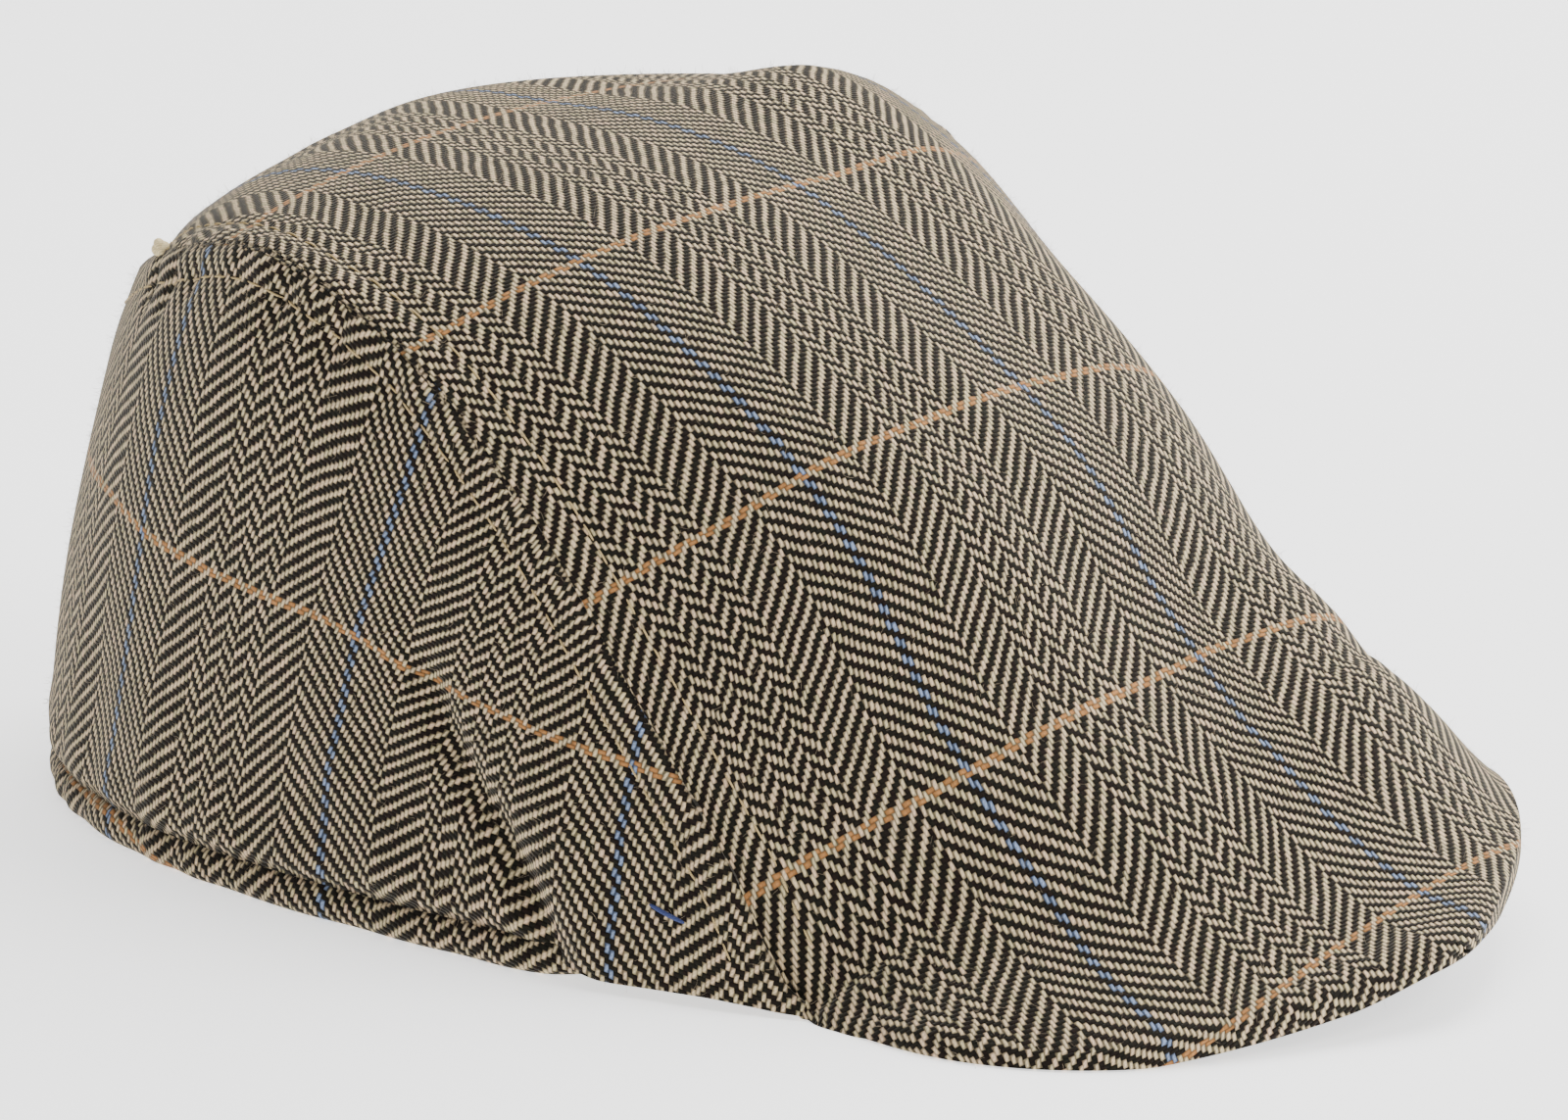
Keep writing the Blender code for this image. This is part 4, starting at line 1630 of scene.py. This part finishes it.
class SideSurface(NamedTuple):
    """Outer face of a side panel, as on the left side, as a grid with rows along it and columns up it.

    along and up are the rows' and the columns' places, cloth the places on the cloth in millimetres, away the
    distance from the seam, and painted_shade how deep in a groove a point lies, which darkens its colour as
    painted shade.
    """

    along: np.ndarray
    up: np.ndarray
    cloth: np.ndarray
    away: np.ndarray
    painted_shade: np.ndarray
    points: np.ndarray
    normals: np.ndarray

    def upside_down(self) -> "SideSurface":
        """The same face with its columns running down."""
        return SideSurface(self.along, self.up[::-1], *(values[:, ::-1] for values in self[2:]))


@dataclass
class SidePanel:
    """One side of the crown, from the hem band up to the seam."""

    form: CapForm
    finishes: Finishes
    hand: Hand
    relief: SeamRelief = SeamRelief(stitch_at=6.0 * MM)
    ends: SeamEnds = SeamEnds(rear_ease=0.9, rear_round=0.7 * MM)
    hem: HemRelief = HemRelief()
    wall: float = 1.4 * MM
    rows: int = 210
    last_row: float = 0.995
    inner_rows: int = 46
    inner_share: tuple[float, float] = (0.11, 0.89)
    low_shares: tuple[float, ...] = (0, 0.006, 0.013, 0.022, 0.033, 0.046, 0.06, 0.075, 0.09)
    high_shares: tuple[float, ...] = (
        0, 0.004, 0.008, 0.013, 0.019, 0.026, 0.034, 0.043, 0.053, 0.064, 0.077, 0.09
    )
    fibres: int = 1700
    wave: float = 0.55 * MM
    wave_from: tuple[float, float] = (12 * MM, 10 * MM)
    centre_depth: float = 1.2 * MM
    centre_width: float = 1.3 * MM
    # width of the painted shade along the centre-back seam
    centre_groove: float = 0.8 * MM
    clearance: float = 0.1 * MM
    left_shift: float = 23.0
    left_strength: float = 0.5
    folds: tuple[Fold, ...] = (
        Fold(
            2.9 * MM,
            2.7 * MM,
            (
                (0.66, 0.60), (0.685, 0.56), (0.735, 0.46), (0.758, 0.38), (0.785, 0.26), (0.808, 0.15),
                (0.825, 0.06),
            ),
        ),
        Fold(-1.4 * MM, 5.5 * MM, ((0.76, 0.56), (0.80, 0.42), (0.84, 0.22), (0.86, 0.08))),
        Fold(-0.9 * MM, 7 * MM, ((0.64, 0.40), (0.70, 0.24), (0.74, 0.12))),
        Fold(0.9 * MM, 7 * MM, ((0.62, 0.74), (0.685, 0.56))),
        Fold(0.9 * MM, 7 * MM, ((0.42, 0.30), (0.45, 0.05))),
        Fold(-0.8 * MM, 9 * MM, ((0.52, 0.26), (0.55, 0.06))),
        Fold(1.2 * MM, 1.7 * MM, ((0.275, 0.985), (0.285, 0.90))),
        Fold(1.4 * MM, 1.6 * MM, ((0.315, 0.985), (0.318, 0.89))),
        Fold(1.0 * MM, 1.6 * MM, ((0.35, 0.985), (0.35, 0.91))),
        Fold(1.0 * MM, 1.8 * MM, ((0.455, 0.985), (0.445, 0.90))),
        Fold(1.1 * MM, 1.8 * MM, ((0.50, 0.985), (0.49, 0.89))),
        Fold(1.0 * MM, 1.8 * MM, ((0.55, 0.985), (0.54, 0.88))),
    )

    def places(self) -> tuple[np.ndarray, np.ndarray]:
        """Places of the rows along the panel and of the columns up it, close together near its edges.

        Returns:
            The rows' places and the columns' places.
        """
        low, high = np.array(self.low_shares), np.array(self.high_shares)
        up = np.concatenate([low, np.linspace(*self.inner_share, self.inner_rows), 1 - high[::-1]])
        return np.linspace(0, self.last_row, self.rows), up

    def filled(self, points: np.ndarray) -> np.ndarray:
        """Points of the left side as this panel has them, which are fuller on the left panel."""
        return self.form.filled(points) if self.hand is Hand.LEFT else points

    def surface(self) -> SideSurface:
        """The panel's outer face.

        Returns:
            The face as on the left side, whichever side the panel is on.
        """
        along, up = self.places()
        base = self.filled(self.form.side(along, up))
        cloth = SideCloth(self.form).places(base)
        away = distance_to(base, self.filled(self.form.seam()))
        points = base + self._normals(base) * self._offset(along, up, base, away, cloth)[..., None]
        points[0, :, 0] = self.clearance
        points[..., 2] = np.maximum(points[..., 2], self.clearance)
        painted_shade = self._painted_shade(base, away, along)
        return SideSurface(along, up, cloth, away, painted_shade, points, self._normals(points))

    def build(self) -> list[bpy.types.Object]:
        """Build the panel, its line of topstitching and its fibres.

        Returns:
            The pieces.
        """
        face = self.surface()
        side = self.hand.name.lower()
        signs = (self.hand.value, 1, 1)
        if self.hand is Hand.RIGHT:
            sheet, cloth = face, face.cloth
        else:
            sheet = face.upside_down()
            cloth = sheet.cloth * (-1, 1) + (self.left_shift, 0)
        points = sheet.points * signs
        panel = cloth_sheet(
            f"side_panel_{side}_cloth", points, cloth, self.finishes.tweed, self.wall, sheet.painted_shade
        )
        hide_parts(f"side_panel_{side}")
        trimmed(panel)
        area = cloth_area(points)
        LOG.info("side panel %s: %.0f cm2 of cloth", side, area * CM2_IN_M2)
        face = face.upside_down()
        points, normals = face.points * signs, face.normals * signs
        rows = range(6, self.rows - 6)
        reach = self.relief.stitch_at
        line = stitch_line(f"topstitch_side_{side}", points, normals, face.away, reach, rows)
        fibres = Fibres(f"side_panel_{side}_fibres", self.fibres)
        fuzz = fibres.build(points, normals, self.finishes.fibre)
        return [panel, trimmed(line.build(self.finishes.thread)), fuzz]

    @staticmethod
    def _normals(base: np.ndarray) -> np.ndarray:
        """Outward normals of the left panel, straight back along the centre-back seam.

        Args:
            base: a grid of points.

        Returns:
            A unit normal for each point.
        """
        normals = -normals_of(base)
        normals[0] = normals[0] * (0, 1, 1)
        normals[0] /= np.linalg.norm(normals[0], axis=1, keepdims=True)
        return normals

    def _offset(
        self, along: np.ndarray, up: np.ndarray, base: np.ndarray, away: np.ndarray, cloth: np.ndarray
    ) -> np.ndarray:
        """Offset outward at each point.

        Args:
            along: the rows' places.
            up: the columns' places.
            base: the smooth surface.
            away: distance of each point from the seam.
            cloth: places on the cloth in millimetres.

        Returns:
            Metres outward.
        """
        around, above = cloth[..., 0] * MM, lengths_along(base, 1)
        offset = self.ends.eased(self.relief.offset(away, around), away, along)
        offset = offset - self.centre_depth * bell(base[..., 0], self.centre_width)
        offset = offset - self.hem.inward(above, around, along)
        from_seam, from_hem = self.wave_from
        still = ramp(away, 0, from_seam) * ramp(above, 0, from_hem)
        offset = offset + ripples(around, above) * self.wave * still
        strength = 1.0 if self.hand is Hand.RIGHT else self.left_strength
        for fold in self.folds:
            offset = offset - strength * fold_depth(base, line_on(base, along, up, fold.places), fold)
        return offset

    def _painted_shade(self, base: np.ndarray, away: np.ndarray, along: np.ndarray) -> np.ndarray:
        """Painted shade for each point's colour, by how deep in a groove it lies, at the seams and over the hem
        band.

        Args:
            base: the smooth surface.
            away: distance of each point from the seam.
            along: the rows' places.

        Returns:
            0 to 1 for each point.
        """
        centre = bell(base[..., 0], self.centre_groove)
        hem = self.hem.painted_shade(lengths_along(base, 1), along)
        return np.clip(self.relief.painted_shade(away) + centre + hem, 0, 1)


@dataclass
class Fibres:
    """Short wool fibres that stand out of the cloth here and there."""

    name: str
    count: int
    length: float = 1.6 * MM
    radius: float = 0.02 * MM
    seed: int = 7
    quick_count: int = 60

    def build(
        self, points: np.ndarray, normals: np.ndarray, material: bpy.types.Material
    ) -> bpy.types.Object:
        """Scatter the fibres over a grid.

        Args:
            points: the cloth's grid.
            normals: its outward normals.
            material: the fibres' wool.

        Returns:
            All the fibres as one piece.
        """
        count = self.count
        chance = np.random.default_rng(self.seed + self.count)
        area = cell_areas(points)
        cells = chance.choice(area.size, size=count, p=area.ravel() / area.sum())
        i, j = np.divmod(cells, area.shape[1])
        i, j = i + chance.random(count), j + chance.random(count)
        places, up = grid_at(points, i, j), grid_at(normals, i, j)
        up /= np.linalg.norm(up, axis=1, keepdims=True)
        free = chance.normal(size=(count, 3))
        flat = free - up * (free * up).sum(axis=1, keepdims=True)
        flat /= np.linalg.norm(flat, axis=1, keepdims=True)
        tilt = chance.uniform(0.1, 1.0, count)[:, None]
        ahead = flat * np.cos(tilt) + up * np.sin(tilt)
        third = np.cross(ahead, up)
        third /= np.linalg.norm(third, axis=1, keepdims=True)
        size = chance.uniform(0.5, 1.4, count)[:, None]
        turns = np.stack([ahead * size, third, np.cross(ahead, third)], axis=-1)
        dip = 0.3 * self.length
        pattern = one_stitch("fibre", self.length, self.radius, dip, sides=3, cuts=(-0.25, 0.05, 0.3))
        middles = places + ahead * size * self.length * 0.4
        return trimmed(copies_of(pattern, self.name, middles, turns, material))


@dataclass
class LooseEnds:
    """Small ends of thread on the cap: a knot at the rear of the right seam, and a slub in a blue yarn."""

    side: SidePanel
    finishes: Finishes
    knot_at: tuple[float, float, float] = (-0.0645, 0.0790, 0.0993)
    knot_size: float = 0.8 * MM
    knot_sides: tuple[int, int] = (72, 8)
    thread: float = 0.85 * MM
    slub_line: tuple[tuple[float, float], ...] = ((0.870, 0.44), (0.897, 0.456))
    slub_radius: float = 0.38 * MM
    slub_dip: float = 0.35 * MM
    slub_lift: float = 0.22 * MM

    def build(self) -> list[bpy.types.Object]:
        """Tie the knot, and lay the slub on the right side panel."""
        return [self._knot(), self._slub()]

    def _knot(self) -> bpy.types.Object:
        """A thread tied over and under itself, made from a ring that is led along the knot's path.

        Returns:
            The knot.
        """
        deselect_all()
        round_it, round_thread = self.knot_sides
        tube = 0.25
        bpy.ops.mesh.primitive_torus_add(
            major_segments=round_it,
            minor_segments=round_thread,
            major_radius=1,
            minor_radius=tube,
            align="WORLD",
        )
        piece = bpy.context.object
        piece.name = "thread_knot"
        ring = np.array([vertex.co[:] for vertex in piece.data.vertices])
        turn = np.arctan2(ring[:, 1], ring[:, 0])
        out = np.hypot(ring[:, 0], ring[:, 1]) - 1

        def path(t: np.ndarray) -> np.ndarray:
            """Points of the knot's path at these turns."""
            x, y = np.sin(t) + 2 * np.sin(2 * t), np.cos(t) - 2 * np.cos(2 * t)
            return np.stack([x, y, -1.3 * np.sin(3 * t)], axis=-1) / 3

        ahead = path(turn + 0.01) - path(turn - 0.01)
        ahead /= np.linalg.norm(ahead, axis=1, keepdims=True)
        side = np.cross(ahead, (0, 0, 1))
        side /= np.linalg.norm(side, axis=1, keepdims=True)
        over = np.cross(side, ahead)
        width = self.thread / tube
        moved = path(turn) * self.knot_size + (side * out[:, None] + over * ring[:, 2:3]) * width
        moved = moved[:, (2, 1, 0)] + np.array(self.knot_at)
        piece.data.vertices.foreach_set("co", moved.ravel())
        piece.data.update()
        piece.data.materials.append(self.finishes.loose_thread)
        piece.data.shade_smooth()
        return trimmed(piece)

    def _slub(self) -> bpy.types.Object:
        """A thick place in a blue yarn, lying on the right side panel.

        Returns:
            The slub.
        """
        face, middle = self.side.surface(), LINE_POINTS // 2
        line = line_on(face.points, face.along, face.up, self.slub_line) * (-1, 1, 1)
        out = line_on(face.normals, face.along, face.up, self.slub_line)[middle] * (-1, 1, 1)
        ahead = line[-1] - line[0]
        length = float(np.linalg.norm(ahead))
        ahead = ahead / length
        out -= ahead * (out @ ahead)
        out /= np.linalg.norm(out)
        turns = np.stack([ahead, np.cross(out, ahead), out], axis=-1)[None]
        pattern = one_stitch("slub", length, self.slub_radius, self.slub_dip)
        places = (line[middle] + out * self.slub_lift)[None]
        return trimmed(copies_of(pattern, "blue_slub", places, turns, self.finishes.blue))


@dataclass
class HemBand:
    """Turned-in lower edge of the crown: a soft strip that runs round the back, under the side panels."""

    form: CapForm
    finishes: Finishes
    end: float = 0.93
    rows: int = 150
    hidden_in: float = 2.6 * MM
    hidden_run: tuple[float, float] = (0.81, 0.87)
    profile: tuple[tuple[float, float], ...] = (
        (-3.1, 9.6), (-2.9, 7.6), (-2.6, 6.6), (-1.7, 6.1), (-0.9, 5.3), (-0.4, 4.2), (-0.2, 3.0),
        (-0.3, 1.9), (-0.7, 0.9), (-1.3, 0.3), (-2.2, 0.0), (-3.2, 0.0),
    )
    height_share: float = 0.6
    lump: float = 0.25 * MM
    lumps_outside: float = -2
    # heights over which painted shade rises on the band's upper part, under the side panel's edge
    groove_heights: tuple[float, float] = (5.2, 6.4)
    cloth_drop: float = 2.0
    wall: float = 1.2 * MM

    def build(self) -> list[bpy.types.Object]:
        """Build the band.

        Returns:
            The band.
        """
        form = self.form
        half = np.linspace(0, self.end, self.rows)
        curves, outward = form.side_curves(half)
        rim = form.rim(half)
        squeeze = np.minimum(1, self.height_share * curves[:, -1, 2] / (self.profile[0][1] * MM))
        hidden = ramp(half, *self.hidden_run)
        lumps = self.lump * np.sin(half * 95 + 1.5 * np.sin(half * 33))
        grid = np.empty((len(half), len(self.profile), 3))
        for j, (out, high) in enumerate(self.profile):
            shift = out * MM + (lumps if out > self.lumps_outside else 0)
            grid[:, j] = rim + outward * (shift - self.hidden_in * hidden)[:, None]
            grid[:, j, 2] = high * MM * squeeze + form.front_shows * hidden
        cloth = SideCloth(form).places(grid[:, ::-1])[:, ::-1]
        cloth[..., 1] += self.cloth_drop
        points = np.concatenate([grid[:0:-1] * (-1, 1, 1), grid])
        both = np.concatenate([cloth[:0:-1], cloth * (-1, 1)])
        heights = np.array([high for _, high in self.profile])
        # painted shade on the band's upper part, where it runs under the side panel
        painted_shade = np.repeat(ramp(heights, *self.groove_heights)[None], len(points), axis=0)
        band = cloth_sheet("hem_band_cloth", points, both, self.finishes.tweed, self.wall, painted_shade)
        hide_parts("hem_band")
        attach(band, "root")
        area = cloth_area(points)
        LOG.info("hem band: %.1f cm2 of cloth", area * CM2_IN_M2)
        return [band]


@dataclass
class PeakUnderside:
    """Stiff board of the peak, covered with plain undercloth."""

    form: CapForm
    finishes: Finishes
    start: float = 1.16
    inset: float = 2.4 * MM
    depth: float = 2.0 * MM
    board: float = 2.0 * MM
    clearance: float = 0.3 * MM
    rows: int = 46
    columns: int = 61
    fine_columns: int = 241
    fine_half: float = 0.975

    def build(self) -> list[bpy.types.Object]:
        """Build the board under the top panel.

        Returns:
            The board with its undercloth.
        """
        form, plan = self.form, np.array([1, 1, 0])
        # rows close together toward the tip, up to where the board's inset leaves room for it
        edge = form.top(np.linspace(1, 2, 600), np.array([-1.0, 1.0])).reshape(-1, 3) * plan
        runs = np.linspace(self.start, 2, 400)
        room = distance_to(form.top(runs, np.array([0.0])) * plan, edge)[:, 0]
        last = np.interp(-self.inset, -room, runs)
        along = self.start + (last - self.start) * np.sin(np.linspace(0, math.pi / 2, self.rows))

        # the top panel's own surface, and how far across it the board reaches in each row
        inner = np.linspace(-self.fine_half, self.fine_half, self.fine_columns)
        fine = np.concatenate([[-1], inner, [1]])
        middle = len(fine) // 2
        surface = form.top(along, fine)
        room = distance_to(surface[:, middle:] * plan, edge)
        reach = np.array([np.interp(-self.inset, -row, fine[middle:]) for row in room])

        # the board's upper face, below the cloth
        upper = surface - normals_of(surface) * self.depth
        across = np.linspace(-1, 1, self.columns)
        grid = np.empty((len(along), len(across), 3))
        for i, (row, share) in enumerate(zip(upper, reach)):
            for axis in range(3):
                grid[i, :, axis] = np.interp(across * share, fine[1:-1], row[1:-1, axis])
        grid[..., 2] = np.maximum(grid[..., 2], self.board + self.clearance)
        cloth = np.stack([grid[..., 0], -grid[..., 1]], axis=-1) / MM
        piece = cloth_sheet("peak_undercloth", grid, cloth, self.finishes.undercloth, self.board)
        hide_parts("peak")
        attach(piece, "root")
        area = cloth_area(grid)
        LOG.info("peak underside: %.1f cm2", area * CM2_IN_M2)
        return [piece]


class Lamp(NamedTuple):
    """A soft light by name, place in metres and power in watts."""

    name: str
    place: tuple[float, float, float]
    power: float


@dataclass
class Studio:
    """Pale floor, soft lights and the camera."""

    focal: float = 174.1
    sensor: float = 36
    sight: float = 50
    azimuth: float = -52.0
    elevation: float = 15.3
    roll: float = 1.2
    place: tuple[float, float, float] = (-0.94608, -0.73937, 0.37687)
    floor_colour: Colour = (0.86, 0.86, 0.86, 1.0)
    floor_glow: float = 1.3
    floor_size: float = 12
    sky: float = 0.36
    lamp_size: float = 1.2
    lamps_aim: tuple[float, float, float] = (0, 0, 0.05)
    lamps: tuple[Lamp, ...] = (
        Lamp("key", (0.3, 0.2, 1.7), 28.5),
        Lamp("front", (0.6, -1.5, 1.2), 35),
        Lamp("far", (1.3, 0.0, 1.1), 25),
    )

    def build(self) -> None:
        """Build the floor, the lights and the camera."""
        self._floor()
        for lamp in self.lamps:
            self._light(lamp)
        world = bpy.data.worlds.new("studio")
        world.use_nodes = True
        background = world.node_tree.nodes["Background"]
        background.inputs[0].default_value = (1, 1, 1, 1)
        background.inputs[1].default_value = self.sky
        bpy.context.scene.world = world
        self._camera()

    def _floor(self) -> None:
        """A wide pale floor."""
        deselect_all()
        bpy.ops.mesh.primitive_plane_add(size=self.floor_size, location=(0, 0, 0))
        floor = bpy.context.object
        floor.name = "studio_floor"
        nodes = NodeMaker("pale_floor")
        nodes.feed(nodes.shader, {
            "Base Color": self.floor_colour,
            "Roughness": 0.8,
            "Emission Color": (1.0, 1.0, 1.0, 1.0),
            "Emission Strength": self.floor_glow,
        })
        floor.data.materials.append(nodes.material)

    def _light(self, lamp: Lamp) -> None:
        """A square soft light that faces the cap.

        Args:
            lamp: its name, place and power.
        """
        data = bpy.data.lights.new(lamp.name, "AREA")
        data.size = self.lamp_size
        data.energy = lamp.power
        light = bpy.data.objects.new(lamp.name, data)
        light.location = lamp.place
        back = np.array(lamp.place) - np.array(self.lamps_aim)
        back /= np.linalg.norm(back)
        right = np.cross([0, 0, 1], back)
        right /= np.linalg.norm(right)
        aim = Matrix((right, np.cross(back, right), back)).transposed()
        light.rotation_euler = aim.to_euler()
        bpy.context.scene.collection.objects.link(light)

    def _camera(self) -> None:
        """The camera at the photograph's viewing angle."""
        a, e, r = (math.radians(x) for x in (self.azimuth, self.elevation, self.roll))
        back = np.array([math.sin(a) * math.cos(e), -math.cos(a) * math.cos(e), math.sin(e)])
        right = np.array([math.cos(a), math.sin(a), 0.0])
        upward = np.cross(back, right)
        turned_right = math.cos(r) * right + math.sin(r) * upward
        turned_up = -math.sin(r) * right + math.cos(r) * upward
        data = bpy.data.cameras.new("camera")
        data.sensor_width = self.sensor
        data.lens = self.focal
        data.clip_end = self.sight
        camera = bpy.data.objects.new("camera", data)
        camera.location = self.place
        camera.rotation_euler = Matrix((turned_right, turned_up, back)).transposed().to_euler()
        bpy.context.scene.collection.objects.link(camera)
        bpy.context.scene.camera = camera


def main() -> None:
    """Build the whole cap in order, and the studio round it."""
    logging.basicConfig(level=logging.INFO, format="%(name)s: %(message)s")
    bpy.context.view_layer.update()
    form = CapForm()
    finishes = Finishes.make()
    Studio().build()
    right = SidePanel(form, finishes, Hand.RIGHT)
    far_seam = SeamRelief(roll=1.5 * MM, roll_width=2.6 * MM, stand=0.05 * MM, stitch_at=6.0 * MM)
    parts = [
        TopPanel(form, finishes),
        right,
        SidePanel(form, finishes, Hand.LEFT, far_seam),
        HemBand(form, finishes),
        PeakUnderside(form, finishes),
        LooseEnds(right, finishes),
    ]
    for part in parts:
        for piece in part.build():
            LOG.info("%s: %d faces", piece.name, len(piece.data.polygons))


if __name__ == "__main__":
    main()
